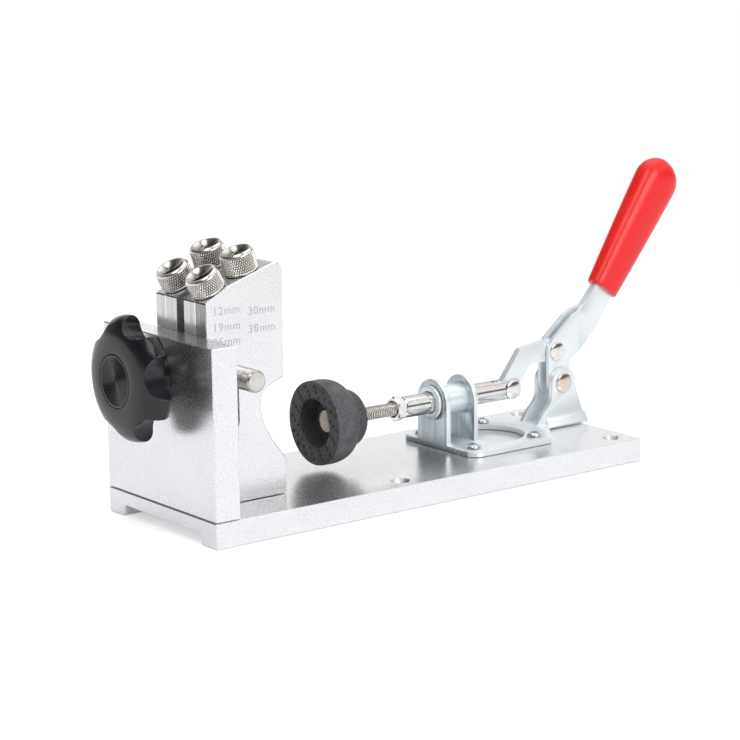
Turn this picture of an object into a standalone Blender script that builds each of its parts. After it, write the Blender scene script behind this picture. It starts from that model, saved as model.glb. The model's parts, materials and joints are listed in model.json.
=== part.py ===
"""Pocket hole jig: a machined guide block that slides up an end plate, and a push-pull toggle clamp."""
import math

import bmesh
import bpy
from mathutils import Matrix, Vector

MM = 0.001

# Gap between pieces that touch, and running gap round pins and slides
SEAT = 0.3 * MM
RUN = 0.3 * MM
EDGE_BREAK = 0.5 * MM

# Base plate: X runs from its left end, Y from its middle, Z from the bench
BASE_LENGTH = 300.0 * MM
BASE_WIDTH = 106.0 * MM
BASE_HEIGHT = 14.0 * MM
PLATE_THICKNESS = 8.0 * MM
RAIL_WIDTH = 14.4 * MM
RAIL_DRAFT = 2.0 * MM
BENCH_HOLE_DIAMETER = 5.5 * MM
BENCH_SINK_DIAMETER = 11.5 * MM
BENCH_HOLE_EDGE = 11.3 * MM
BENCH_HOLE_END = 13.0 * MM
BENCH_HOLE_PITCH = 157.5 * MM

# End plate and the screws that hold it from below
END_THICKNESS = 15.5 * MM
END_HEIGHT = 92.0 * MM
END_SCREW_DIAMETER = 6.0 * MM
END_SCREW_HEAD = 11.0 * MM
END_SCREW_LENGTH = 34.0 * MM
END_SCREW_OFFSET = 25.0 * MM
SCREW_SOCKET_ACROSS = 4.0 * MM
SCREW_SOCKET_DEPTH = 2.0 * MM

# Guide block
GUIDE_WIDTH = 47.8 * MM
GUIDE_DEPTH = 49.5 * MM
GUIDE_BACK_HEIGHT = 110.0 * MM
GUIDE_CORNER = 5.0 * MM
RIDGE_FROM_BACK = 14.2 * MM
LOW_TILT = math.radians(29.0)
HIGH_TILT = math.radians(18.0)
FOOT_HEIGHT = 20.0 * MM
WAIST_HEIGHT = 51.0 * MM
WAIST_DEPTH = 15.5 * MM
LEDGE_HEIGHT = 65.0 * MM
LEDGE_RISE = 3.6 * MM
LEDGE_DEPTH = 9.6 * MM
BACK_SLOT_WIDTH = 7.0 * MM
SCRIBE_WIDTH = 0.9 * MM
SCRIBE_DEPTH = 0.5 * MM
LIFT_TRAVEL = 26.0 * MM

# Drill bushings
BUSHING_BORE = 9.5 * MM
BUSHING_MOUTH = 12.4 * MM
BUSHING_HEAD = 19.0 * MM
BUSHING_BODY = 14.4 * MM
BUSHING_BODY_LENGTH = 19.0 * MM
BUSHING_SPACING = 28.4 * MM
LOW_SEAT = 10.4 * MM
HIGH_SEAT = 16.6 * MM
LOW_HEAD_HEIGHT = 11.0 * MM
HIGH_HEAD_HEIGHT = 12.0 * MM

# Cross pin, knob and stud
PIN_DIAMETER = 12.0 * MM
PIN_LENGTH = 100.0 * MM
PIN_CHAMFER = 0.8 * MM
PIN_FROM_PLATE = 14.0 * MM
KNOB_HEIGHT = 85.0 * MM
STUD_DIAMETER = 6.0 * MM
STUD_IN_KNOB = 13.0 * MM
KNOB_DIAMETER = 67.8 * MM
KNOB_DEPTH = 26.0 * MM
KNOB_HUB = 27.0 * MM
KNOB_HUB_LENGTH = 9.7 * MM
KNOB_LOBES = 6
KNOB_PHASE = math.radians(20.5)
SCALLOP_RADIUS = 12.2 * MM
SCALLOP_BITE_BACK = 11.2 * MM
SCALLOP_BITE_FRONT = 6.9 * MM
CAP_DIAMETER = 28.6 * MM
CAP_THICKNESS = 1.6 * MM
CAP_RINGS = 4

# Toggle clamp: its plunger axis, main pivot and the two other pivots of the linkage
CLAMP_Y = 8.0 * MM
AXIS_HEIGHT = 41.0 * MM
SHEET = 3.0 * MM
FLANGE_START = 191.5 * MM
FLANGE_LENGTH = 59.0 * MM
FLANGE_WIDTH = 68.0 * MM
FLANGE_SHIFT = -3.5 * MM
FLANGE_CORNER = 8.0 * MM
FLANGE_HOLE = 49.0 * MM
LUG_WIDTH = 27.0 * MM
LUG_SPACING = 17.6 * MM
LUG_BEND = 2.5 * MM
TUBE_DIAMETER = 17.5 * MM
COLLAR_DIAMETER = 20.0 * MM
COLLAR_LENGTH = 2.2 * MM
CLAMP_SCREW_DIAMETER = 5.0 * MM
CLAMP_SCREW_HEAD = 8.6 * MM
CLAMP_SCREW_CROWN = 2.3 * MM
CLAMP_SCREW_GRIP = 7.0 * MM
CLAMP_SCREW_PITCH_X = 46.0 * MM
CLAMP_SCREW_PITCH_Y = 47.5 * MM
CLAMP_SCREW_INSET = 8.5 * MM

PIVOT_BEHIND_FLANGE = 35.5 * MM
PIVOT_HEIGHT = 40.5 * MM
EAR_HEAD = 9.3 * MM
EAR_GAP = 10.6 * MM
EAR_FOOT = 17.0 * MM
EAR_SKIRT = 5.4 * MM
EAR_NECK = 3.8 * MM
EAR_TOE = 14.7 * MM
EAR_LIP = 3.2 * MM
RIVET_DIAMETER = 8.0 * MM
RIVET_HEAD = 11.6 * MM
RIVET_CROWN = 1.2 * MM

# Plunger, spindle, nut and pad
PLUNGER_DIAMETER = 12.7 * MM
PIN_BEFORE_PIVOT = 37.3 * MM
PLUNGER_LENGTH = 86.2 * MM
PLUNGER_TAIL = 6.3 * MM
PLUNGER_FLAT = 10.0 * MM
PLUNGER_SLOT_REACH = 13.6 * MM
PLUNGER_SLOT_WIDTH = 5.3 * MM
TONGUE_PIN = 6.5 * MM
TONGUE_PIN_HEAD = 11.0 * MM
TONGUE_PIN_CROWN = 1.7 * MM
SPINDLE_DIAMETER = 8.0 * MM
SPINDLE_IN_PLUNGER = 24.0 * MM
SPINDLE_BACK_ROOM = 16.0 * MM
NUT_ACROSS = 13.0 * MM
NUT_THICKNESS = 5.8 * MM
PAD_REACH = 61.6 * MM
PAD_DIAMETER = 48.0 * MM
PAD_DISC = 18.0 * MM
PAD_HUB = 33.0 * MM
PAD_HUB_LENGTH = 12.0 * MM
CUP_DIAMETER = 28.0 * MM
CUP_DEPTH = 13.8 * MM
BOLT_HEAD_ACROSS = 13.0 * MM
BOLT_HEAD_HEIGHT = 5.5 * MM

# Handle, link and grip, as they stand at rest
CRANK_RADIUS = 19.2 * MM
CRANK_ANGLE = math.radians(97.5)
LINK_THICKNESS = 4.5 * MM
HANDLE_WIDTH = 10.0 * MM
HANDLE_SHEET = 2.3 * MM
LINK_RIVET_DIAMETER = 6.5 * MM
LINK_RIVET_HEAD = 10.8 * MM
LINK_RIVET_CROWN = 0.9 * MM
CREASE_OUT = 15.0 * MM
CREASE_LOW = 17.4 * MM
CREASE_HIGH = 41.5 * MM
NECK_FRONT_OUT = 21.0 * MM
NECK_FRONT_RISE = 44.2 * MM
NECK_BACK_OUT = 31.8 * MM
NECK_BACK_RISE = 30.2 * MM
BLADE_THICKNESS = 4.8 * MM
BLADE_WIDTH = 14.4 * MM
BLADE_IN_GRIP = 62.0 * MM
GRIP_ANGLE = math.radians(54.5)
GRIP_RISE = 51.5 * MM
GRIP_OUT = 37.4 * MM
GRIP_LENGTH = 90.0 * MM
GRIP_WIDTH_LOW = 21.4 * MM
GRIP_WIDTH_HIGH = 29.6 * MM
GRIP_FLATNESS = 0.64
GRIP_ROUNDING = 15.0 * MM

# Values worked out from the ones above
PLATE_TOP = BASE_HEIGHT
END_TOP = PLATE_TOP + SEAT + END_HEIGHT
GUIDE_BACK = END_THICKNESS + RUN
STOP_X = GUIDE_BACK + GUIDE_DEPTH
GUIDE_BOTTOM = PLATE_TOP + SEAT
PIN_X = END_THICKNESS + PIN_FROM_PLATE
KNOB_BACK = -SEAT
KNOB_FACE = KNOB_BACK - KNOB_DEPTH
SHEET_LOW = PLATE_TOP + SEAT
SHEET_TOP = SHEET_LOW + SHEET
FLANGE_END = FLANGE_START + FLANGE_LENGTH
FLANGE_Y = CLAMP_Y + FLANGE_SHIFT
REAR_LUG = FLANGE_START + SHEET + LUG_SPACING
EAR_OUT = EAR_GAP / 2 + SHEET
PIVOT_X = FLANGE_END + PIVOT_BEHIND_FLANGE
PLUNGER_PIN_X = PIVOT_X - PIN_BEFORE_PIVOT
PLUNGER_FRONT = PLUNGER_PIN_X + PLUNGER_TAIL - PLUNGER_LENGTH
PAD_FACE = PLUNGER_FRONT - PAD_REACH
LINK_PIN_X = PIVOT_X + CRANK_RADIUS * math.cos(CRANK_ANGLE)
LINK_PIN_Z = PIVOT_HEIGHT + CRANK_RADIUS * math.sin(CRANK_ANGLE)
PAD_BACK = PAD_FACE + PAD_DISC + PAD_HUB_LENGTH
CUP_FLOOR = PAD_FACE + CUP_DEPTH


def polar(radius, angle):
    return radius * math.cos(angle), radius * math.sin(angle)


def rounded(corners, steps=6):
    """Outline through corners (u, v, radius), with an arc of that radius at each one."""
    outline = []
    for i, (u, v, radius) in enumerate(corners):
        here = Vector((u, v))
        if radius <= 0:
            outline.append((u, v))
            continue
        before = (Vector(corners[i - 1][:2]) - here).normalized()
        after = (Vector(corners[(i + 1) % len(corners)][:2]) - here).normalized()
        half = before.angle(after) / 2
        reach = radius / math.tan(half)
        centre = here + (before + after).normalized() * (radius / math.sin(half))
        start = here + before * reach - centre
        turn = (here + after * reach - centre).angle_signed(start)
        for step in range(steps + 1):
            angle = turn * step / steps
            outline.append(tuple(centre + Matrix.Rotation(angle, 2) @ start))
    return outline


def bezier(start, pull_start, pull_end, end, steps):
    """Points along a cubic curve, without its first point."""
    curve = []
    for step in range(1, steps + 1):
        t = step / steps
        weights = ((1 - t) ** 3, 3 * t * (1 - t) ** 2, 3 * t * t * (1 - t), t ** 3)
        points = (start, pull_start, pull_end, end)
        curve.append(tuple(sum(w * p[k] for w, p in zip(weights, points)) for k in (0, 1)))
    return curve


def tidy(bm):
    bmesh.ops.remove_doubles(bm, verts=bm.verts, dist=1e-6)
    bmesh.ops.recalc_face_normals(bm, faces=bm.faces)
    return bm


def prism(outline, low, high, axis, bevel=0.0):
    """Outline swept along an axis: (x, z) for Y, (y, z) for X and (x, y) for Z."""
    place = {"X": lambda u, v, w: (w, u, v), "Y": lambda u, v, w: (u, w, v), "Z": lambda u, v, w: (u, v, w)}
    bm = bmesh.new()
    face = bm.faces.new([bm.verts.new(place[axis](u, v, low)) for u, v in outline])
    swept = bmesh.ops.extrude_face_region(bm, geom=[face])
    moved = [item for item in swept["geom"] if isinstance(item, bmesh.types.BMVert)]
    bmesh.ops.translate(bm, verts=moved, vec=place[axis](0, 0, high - low))
    tidy(bm)
    if bevel > 0:
        sharp = [edge for edge in bm.edges if edge.calc_face_angle(0) > math.radians(35)]
        bmesh.ops.bevel(bm, geom=sharp, offset=bevel, segments=1, affect="EDGES", clamp_overlap=True)
    return bm


def block(low, high, bevel=0.0):
    outline = [(low[0], low[1]), (high[0], low[1]), (high[0], high[1]), (low[0], high[1])]
    return prism(outline, low[2], high[2], "Z", bevel)


def turned(profile, origin, direction, segments=36):
    """Profile of (distance along the axis, radius), closed through the axis or as a ring."""
    bm = bmesh.new()
    points = [bm.verts.new((radius, 0, along)) for along, radius in profile]
    edges = [bm.edges.new(pair) for pair in zip(points, points[1:])]
    if profile[0][1] > 0:
        edges.append(bm.edges.new((points[-1], points[0])))
    bmesh.ops.spin(bm, geom=points + edges, axis=(0, 0, 1), cent=(0, 0, 0), angle=math.tau,
                   steps=segments, use_merge=True)
    turn = Vector(direction).to_track_quat("Z", "X").to_matrix().to_4x4()
    bm.transform(Matrix.Translation(origin) @ turn)
    return tidy(bm)


def rod(start, end, radius, segments=32, chamfer=0.0):
    """Round bar from one point to another, with an optional chamfer at both ends."""
    length = (Vector(end) - Vector(start)).length
    profile = [(0, 0), (0, radius - chamfer)]
    if chamfer > 0:
        profile += [(chamfer, radius), (length - chamfer, radius)]
    profile += [(length, radius - chamfer), (length, 0)]
    return turned(profile, start, Vector(end) - Vector(start), segments)


def hexagon(across, start, end):
    """Hexagonal bar along X."""
    corner = across / math.sqrt(3)
    outline = [polar(corner, math.tau * k / 6) for k in range(6)]
    return prism([(u + start[1], v + start[2]) for u, v in outline], start[0], end[0], "X")


def hull(points):
    bm = bmesh.new()
    vertices = [bm.verts.new(point) for point in points]
    bmesh.ops.convex_hull(bm, input=vertices)
    return tidy(bm)


def grip_section(along):
    """Half width and half thickness of the grip at a distance from its open end."""
    share = min(along / (GRIP_LENGTH - GRIP_ROUNDING), 1.0)
    half = (GRIP_WIDTH_LOW + (GRIP_WIDTH_HIGH - GRIP_WIDTH_LOW) * share) / 2
    over = max(along - (GRIP_LENGTH - GRIP_ROUNDING), 0.0) / GRIP_ROUNDING
    return half * math.sqrt(max(1 - over * over, 0.0))


def grip_frame():
    """The grip's foot and its long and cross directions in the XZ plane."""
    foot = Vector((PIVOT_X + GRIP_OUT, PIVOT_HEIGHT + GRIP_RISE))
    along = Vector(polar(1.0, GRIP_ANGLE))
    return foot, along, Vector((along.y, -along.x))


def grip_reach():
    """How far the grip reaches along X."""
    foot, along, cross = grip_frame()
    steps = [GRIP_LENGTH * k / 200 for k in range(201)]
    return max((foot + along * step + cross * grip_section(step)).x for step in steps)


# The origin lies on the bench under the middle of the whole jig
ORIGIN_X = (KNOB_FACE + grip_reach()) / 2

for leftover in list(bpy.data.objects):
    bpy.data.objects.remove(leftover, do_unlink=True)

GROUPS = {}


def group(name, x, y, z, parent=None):
    """Empty on a joint's axis, in the frame of the base plate's left end."""
    empty = bpy.data.objects.new(name, None)
    bpy.context.collection.objects.link(empty)
    empty.empty_display_size = 10 * MM
    origin = Vector((x, y, z))
    if parent is None:
        empty.location = origin - Vector((ORIGIN_X, 0, 0))
    else:
        empty.parent = GROUPS[parent][0]
        empty.location = origin - GROUPS[parent][1]
    GROUPS[name] = (empty, origin)


def material(name, colour, metallic, roughness):
    finish = bpy.data.materials.new(name)
    finish.use_nodes = True
    shader = finish.node_tree.nodes["Principled BSDF"]
    shader.inputs["Base Color"].default_value = (*colour, 1)
    shader.inputs["Metallic"].default_value = metallic
    shader.inputs["Roughness"].default_value = roughness
    finish.diffuse_color = (*colour, 1)
    return finish


def place(name, bm, owner):
    """Object made from a mesh in the base frame, hung on its group's empty."""
    empty, origin = GROUPS[owner]
    bm.transform(Matrix.Translation(-origin))
    mesh = bpy.data.meshes.new(name)
    bm.to_mesh(mesh)
    bm.free()
    obj = bpy.data.objects.new(name, mesh)
    bpy.context.collection.objects.link(obj)
    obj.parent = empty
    return obj


def solid(name, bm, owner, finish, add=(), cut=()):
    """Finished piece: a body, the shapes joined to it and the shapes cut from it."""
    obj = place(name, bm, owner)
    obj.data.shade_smooth()
    obj.data.set_sharp_from_angle(angle=math.radians(32))
    obj.data.materials.append(material(name, *finish))
    for operation, shapes in (("UNION", add), ("DIFFERENCE", cut)):
        for number, shape in enumerate(shapes):
            tool = place(f"{name}_{operation.lower()}_{number}", shape, owner)
            tool.hide_render = True
            tool.display_type = "WIRE"
            boolean = obj.modifiers.new(tool.name, "BOOLEAN")
            boolean.operation = operation
            boolean.solver = "EXACT"
            boolean.object = tool
    return obj


ALUMINIUM = ((0.80, 0.80, 0.79), 0.85, 0.42)
STEEL = ((0.72, 0.72, 0.72), 1.0, 0.18)
ZINC = ((0.70, 0.74, 0.78), 0.9, 0.32)
NICKEL = ((0.72, 0.69, 0.64), 1.0, 0.24)
BLACK = ((0.012, 0.012, 0.014), 0.0, 0.30)
RUBBER = ((0.030, 0.030, 0.032), 0.0, 0.72)
RED = ((0.72, 0.015, 0.012), 0.0, 0.22)


def base_plate():
    """Channel-shaped plate with two full-length rails, screw holes and bench holes."""
    half = BASE_WIDTH / 2
    ceiling = BASE_HEIGHT - PLATE_THICKNESS
    inner = half - RAIL_WIDTH
    outline = [(-half, 0), (-inner, 0), (-inner + RAIL_DRAFT, ceiling), (inner - RAIL_DRAFT, ceiling),
               (inner, 0), (half, 0), (half, BASE_HEIGHT), (-half, BASE_HEIGHT)]
    past = SHEET
    cuts = []
    sink = (BENCH_SINK_DIAMETER - BENCH_HOLE_DIAMETER) / 2
    last = BASE_LENGTH - BENCH_HOLE_END
    for x in (last - BENCH_HOLE_PITCH, last):
        for side in (-1, 1):
            y = side * (half - BENCH_HOLE_EDGE)
            hole = [(-past, 0), (-past, BENCH_HOLE_DIAMETER / 2),
                    (BASE_HEIGHT - sink, BENCH_HOLE_DIAMETER / 2), (BASE_HEIGHT, BENCH_SINK_DIAMETER / 2),
                    (BASE_HEIGHT + past, BENCH_SINK_DIAMETER / 2), (BASE_HEIGHT + past, 0)]
            cuts.append(turned(hole, (x, y, 0), (0, 0, 1), 18))
    for side in (-1, 1):
        cuts.append(end_screw_shape(side, RUN, past))
    for x, y in clamp_screw_places():
        low = PLATE_TOP - CLAMP_SCREW_GRIP - SEAT
        cuts.append(rod((x, y, low), (x, y, PLATE_TOP + past), CLAMP_SCREW_DIAMETER / 2 + RUN, 12))
    body = prism(outline, 0, BASE_LENGTH, "X", EDGE_BREAK)
    solid("base_plate", body, "base", ALUMINIUM, cut=cuts)


def end_screw_shape(side, gap, past):
    """Countersunk screw from the underside of the plate into the end plate, or its hole."""
    ceiling = BASE_HEIGHT - PLATE_THICKNESS
    head = END_SCREW_HEAD / 2 + gap
    shank = END_SCREW_DIAMETER / 2 + gap
    top = ceiling + END_SCREW_LENGTH + gap
    low = ceiling - past if past > 0 else ceiling + SEAT
    cone = head - shank
    profile = [(low, 0), (low, head), (ceiling + SEAT, head), (ceiling + SEAT + cone, shank), (top, shank), (top, 0)]
    return turned(tidy_profile(profile), (END_THICKNESS / 2, side * END_SCREW_OFFSET, 0), (0, 0, 1), 18)


def tidy_profile(profile):
    """Profile without repeated points."""
    return [point for k, point in enumerate(profile) if k == 0 or point != profile[k - 1]]


def end_screws():
    ceiling = BASE_HEIGHT - PLATE_THICKNESS
    for name, side in (("end_screw_near", -1), ("end_screw_far", 1)):
        y = side * END_SCREW_OFFSET
        corner = SCREW_SOCKET_ACROSS / math.sqrt(3)
        socket = [polar(corner, math.tau * k / 6) for k in range(6)]
        outline = [(u + END_THICKNESS / 2, v + y) for u, v in socket]
        cutter = prism(outline, ceiling - SHEET, ceiling + SEAT + SCREW_SOCKET_DEPTH, "Z")
        solid(name, end_screw_shape(side, 0, 0), "base", STEEL, cut=[cutter])


def end_plate():
    """Upright at the knob end, with the stud's hole and the screws' blind holes."""
    body = block((0, -BASE_WIDTH / 2, PLATE_TOP + SEAT), (END_THICKNESS, BASE_WIDTH / 2, END_TOP), EDGE_BREAK)
    cuts = [rod((-SHEET, 0, KNOB_HEIGHT), (END_THICKNESS + SHEET, 0, KNOB_HEIGHT), STUD_DIAMETER / 2 + RUN, 24)]
    top = BASE_HEIGHT - PLATE_THICKNESS + END_SCREW_LENGTH + SEAT
    for side in (-1, 1):
        x = END_THICKNESS / 2
        y = side * END_SCREW_OFFSET
        cuts.append(rod((x, y, PLATE_TOP - SHEET), (x, y, top), END_SCREW_DIAMETER / 2 + RUN, 18))
    solid("end_plate", body, "base", ALUMINIUM, cut=cuts)


def facets():
    """Back corner and ridge of the guide's two sloping top faces."""
    back = Vector((GUIDE_BACK, PLATE_TOP + GUIDE_BACK_HEIGHT))
    ridge = back + Vector((RIDGE_FROM_BACK, RIDGE_FROM_BACK * math.tan(LOW_TILT)))
    return back, ridge


def guide_outline():
    """Near face of the guide block: sloping top, stop face, undercut ledge, waist and foot."""
    back, ridge = facets()
    front_top = ridge.y + (STOP_X - ridge.x) * math.tan(HIGH_TILT)
    top = rounded([(GUIDE_BACK, GUIDE_BOTTOM, 0), (back.x, back.y, 0), (ridge.x, ridge.y, 0),
                   (STOP_X, front_top, GUIDE_CORNER), (STOP_X, GUIDE_BOTTOM, 0)])[:-1]
    ledge = (STOP_X, PLATE_TOP + LEDGE_HEIGHT)
    lip = (STOP_X - LEDGE_DEPTH, ledge[1] - LEDGE_RISE)
    waist = (STOP_X - WAIST_DEPTH, PLATE_TOP + WAIST_HEIGHT)
    toe = (STOP_X, PLATE_TOP + FOOT_HEIGHT)
    upper = bezier(lip, (lip[0] - 0.4 * LEDGE_DEPTH, lip[1] - 1.8 * MM), (waist[0], waist[1] + 5 * MM), waist, 6)
    lower = bezier(waist, (waist[0], waist[1] - 11 * MM), (toe[0] - 7 * MM, toe[1] + 9.5 * MM), toe, 10)
    return top + [ledge, lip] + upper + lower + [(STOP_X, GUIDE_BOTTOM)]


def bushing_axes():
    """Name, seat point on the sloping face, outward direction and head height of each bushing."""
    back, ridge = facets()
    rows = (("low", back, LOW_SEAT, LOW_TILT, LOW_HEAD_HEIGHT),
            ("high", ridge, HIGH_SEAT, HIGH_TILT, HIGH_HEAD_HEIGHT))
    for row, corner, along, tilt, height in rows:
        seat = corner + Vector(polar(along, tilt))
        out = Vector((-math.sin(tilt), 0, math.cos(tilt)))
        for name, side in (("near", -1), ("far", 1)):
            yield f"bushing_{row}_{name}", Vector((seat.x, side * BUSHING_SPACING / 2, seat.y)), out, height


def guide_block():
    half = GUIDE_WIDTH / 2
    slide = PIN_DIAMETER / 2 + RUN
    slot = rounded([(PIN_X - slide, KNOB_HEIGHT - LIFT_TRAVEL - slide, 0.98 * slide),
                    (PIN_X + slide, KNOB_HEIGHT - LIFT_TRAVEL - slide, 0.98 * slide),
                    (PIN_X + slide, KNOB_HEIGHT + slide, 0.98 * slide),
                    (PIN_X - slide, KNOB_HEIGHT + slide, 0.98 * slide)], 8)
    cuts = [prism(slot, -half - SHEET, half + SHEET, "Y")]
    top = PLATE_TOP + GUIDE_BACK_HEIGHT + GUIDE_DEPTH
    cuts.append(block((GUIDE_BACK - SHEET, -BACK_SLOT_WIDTH / 2, GUIDE_BOTTOM - SHEET),
                      (PIN_X, BACK_SLOT_WIDTH / 2, top)))
    for side in (-1, 1):
        y = side * BUSHING_SPACING / 2
        groove = [(GUIDE_BACK - SCRIBE_DEPTH, y - SCRIBE_WIDTH), (GUIDE_BACK + SCRIBE_DEPTH, y),
                  (GUIDE_BACK - SCRIBE_DEPTH, y + SCRIBE_WIDTH)]
        cuts.append(prism(groove, GUIDE_BOTTOM - SHEET, top, "Z"))
    drill = BUSHING_BORE / 2 + RUN
    seat_depth = BUSHING_BODY_LENGTH + SEAT
    for _, seat, out, _ in bushing_axes():
        profile = [(-SHEET, 0), (-SHEET, BUSHING_BODY / 2 + RUN), (seat_depth, BUSHING_BODY / 2 + RUN),
                   (seat_depth, drill), (GUIDE_BACK_HEIGHT * 0.68, drill), (GUIDE_BACK_HEIGHT * 0.68, 0)]
        cuts.append(turned(profile, seat, -out, 20))
    body = prism(guide_outline(), -half, half, "Y", EDGE_BREAK)
    solid("guide_block", body, "guide", ALUMINIUM, cut=cuts)


def bushings():
    """Headed drill bushings with a chamfered mouth, seated on the guide's sloping faces."""
    for name, seat, out, height in bushing_axes():
        head = BUSHING_HEAD / 2
        body = BUSHING_BODY / 2
        bore = BUSHING_BORE / 2
        mouth = BUSHING_MOUTH / 2
        chamfer = mouth - bore
        top = SEAT + height
        profile = [(-BUSHING_BODY_LENGTH, bore), (-BUSHING_BODY_LENGTH, body - EDGE_BREAK),
                   (-BUSHING_BODY_LENGTH + EDGE_BREAK, body), (SEAT, body), (SEAT, head - EDGE_BREAK),
                   (SEAT + EDGE_BREAK, head), (top - 2 * EDGE_BREAK, head), (top, head - 2 * EDGE_BREAK),
                   (top, mouth), (top - chamfer, bore)]
        solid(name, turned(profile, seat, out, 24), "guide", NICKEL)


def cross_pin():
    """Steel pin across the guide: the stud pulls it, and with it the guide, against the end plate."""
    body = rod((PIN_X, -PIN_LENGTH / 2, KNOB_HEIGHT), (PIN_X, PIN_LENGTH / 2, KNOB_HEIGHT), PIN_DIAMETER / 2, 28,
               PIN_CHAMFER)
    hole = rod((PIN_X - PIN_DIAMETER, 0, KNOB_HEIGHT), (PIN_X + PIN_DIAMETER, 0, KNOB_HEIGHT),
               STUD_DIAMETER / 2 + RUN, 20)
    solid("cross_pin", body, "base", NICKEL, cut=[hole])


def knob():
    """Star knob: a domed body with scallops that deepen to the back, a cap recess and the stud's hole."""
    rim = KNOB_DIAMETER / 2
    hub = KNOB_HUB / 2
    front = KNOB_DEPTH - KNOB_HUB_LENGTH
    curve = ((0.0, 0.890), (0.12, 0.960), (0.34, 1.0), (0.55, 0.968), (0.74, 0.892), (0.86, 0.800), (0.94, 0.702),
             (0.985, 0.585))
    profile = [(0, 0), (0, hub), (KNOB_HUB_LENGTH - 2 * EDGE_BREAK, hub),
               (KNOB_HUB_LENGTH, hub + 3 * EDGE_BREAK)]
    profile += [(KNOB_HUB_LENGTH + front * along, rim * share) for along, share in curve]
    profile += [(KNOB_DEPTH, 0.48 * rim), (KNOB_DEPTH, 0)]
    centre = Vector((KNOB_BACK, 0, KNOB_HEIGHT))
    lean = (SCALLOP_BITE_BACK - SCALLOP_BITE_FRONT) / front
    reach = SCALLOP_RADIUS * math.hypot(1.0, lean)
    cuts = []
    for lobe in range(KNOB_LOBES):
        angle = KNOB_PHASE + math.tau * (lobe + 0.5) / KNOB_LOBES
        outward = Vector((0, *polar(1.0, angle)))
        middle = centre + Vector((-KNOB_HUB_LENGTH, 0, 0)) + outward * (rim + reach - SCALLOP_BITE_BACK)
        along = Vector((-1, 0, 0)) + outward * lean
        cuts.append(rod(middle - along * 14 * MM, middle + along * 22 * MM, SCALLOP_RADIUS, 24))
    cap_bed = centre + Vector((-KNOB_DEPTH + CAP_THICKNESS + SEAT, 0, 0))
    cuts.append(rod(cap_bed, centre + Vector((-KNOB_DEPTH - SHEET, 0, 0)), CAP_DIAMETER / 2 + SEAT, 30))
    stud_end = centre + Vector((-STUD_IN_KNOB - SEAT, 0, 0))
    cuts.append(rod(stud_end, centre + Vector((SHEET, 0, 0)), STUD_DIAMETER / 2 + RUN, 24))
    solid("knob", turned(profile, centre, (-1, 0, 0), 48), "knob_axis", BLACK, cut=cuts)


def knob_cap():
    """Disc pressed into the knob's face, turned with concentric rings."""
    radius = CAP_DIAMETER / 2
    pitch = radius / (CAP_RINGS + 1)
    depth = 0.25 * CAP_THICKNESS
    profile = [(0, 0), (0, radius), (CAP_THICKNESS - depth, radius)]
    profile += [(CAP_THICKNESS, radius - depth), (CAP_THICKNESS, radius - pitch / 2)]
    for ring in range(CAP_RINGS):
        outer = radius - pitch * (ring + 0.75)
        profile += [(CAP_THICKNESS - depth, outer), (CAP_THICKNESS, outer - pitch / 2)]
    profile.append((CAP_THICKNESS, 0))
    bed = (KNOB_FACE + CAP_THICKNESS, 0, KNOB_HEIGHT)
    solid("knob_cap", turned(profile, bed, (-1, 0, 0), 26), "knob_axis", BLACK)


def knob_stud():
    start = (KNOB_BACK - STUD_IN_KNOB, 0, KNOB_HEIGHT)
    end = (PIN_X + PIN_DIAMETER / 2 - EDGE_BREAK, 0, KNOB_HEIGHT)
    solid("knob_stud", rod(start, end, STUD_DIAMETER / 2, 20, EDGE_BREAK), "knob_axis", STEEL)


def clamp_screw_places():
    """Centres of the four screws of the clamp's flange."""
    first = FLANGE_START + CLAMP_SCREW_INSET
    for x in (first, first + CLAMP_SCREW_PITCH_X):
        for side in (-1, 1):
            yield x, FLANGE_Y + side * CLAMP_SCREW_PITCH_Y / 2


def clamp_screws():
    """Low round-headed screws that hold the clamp down."""
    for number, (x, y) in enumerate(clamp_screw_places(), 1):
        bed = SHEET_TOP + SEAT
        head = CLAMP_SCREW_HEAD / 2
        shank = CLAMP_SCREW_DIAMETER / 2
        low = PLATE_TOP - CLAMP_SCREW_GRIP
        profile = [(low, 0), (low, shank), (bed, shank), (bed, head)]
        for step in range(1, 4):
            angle = math.pi / 2 * step / 4
            profile.append((bed + CLAMP_SCREW_CROWN * math.sin(angle), head * math.cos(angle) ** 0.6))
        profile.append((bed + CLAMP_SCREW_CROWN, 0))
        arm = 0.55 * head
        slot = 0.5 * MM
        top = bed + CLAMP_SCREW_CROWN
        deep = top - 0.55 * CLAMP_SCREW_CROWN
        cross = [block((x - arm, y - slot, deep), (x + arm, y + slot, top + SHEET)),
                 block((x - slot, y - arm, deep), (x + slot, y + arm, top + SHEET))]
        body = turned(profile, (x, y, 0), (0, 0, 1), 14)
        solid(f"clamp_screw_{number}", body, "base", ZINC, cut=cross)


def lug(x):
    """Upright lug with a round head about the plunger axis and a bend at its root."""
    half = LUG_WIDTH / 2
    steps = 12
    arc = [polar(half, math.pi * k / steps) for k in range(steps + 1)]
    outline = [(CLAMP_Y + u, AXIS_HEIGHT + v) for u, v in arc]
    outline += [(CLAMP_Y - half, SHEET_LOW + SHEET / 2), (CLAMP_Y + half, SHEET_LOW + SHEET / 2)]
    return prism(outline, x, x + SHEET, "X")


def bend(x):
    """Fillet between the sheet and the back of a lug."""
    corner = (x + SHEET, SHEET_TOP)
    arc = [(corner[0] + LUG_BEND * (1 - math.cos(t)), corner[1] + LUG_BEND * (1 - math.sin(t)))
           for t in [math.pi / 2 * k / 4 for k in range(5)]]
    outline = [(x + SHEET / 2, SHEET_TOP - SHEET / 2)] + [(x + SHEET / 2, arc[0][1])] + arc
    outline += [(arc[-1][0], SHEET_TOP - SHEET / 2)]
    half = LUG_WIDTH / 2
    return prism(outline, CLAMP_Y - half, CLAMP_Y + half, "Y")


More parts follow.
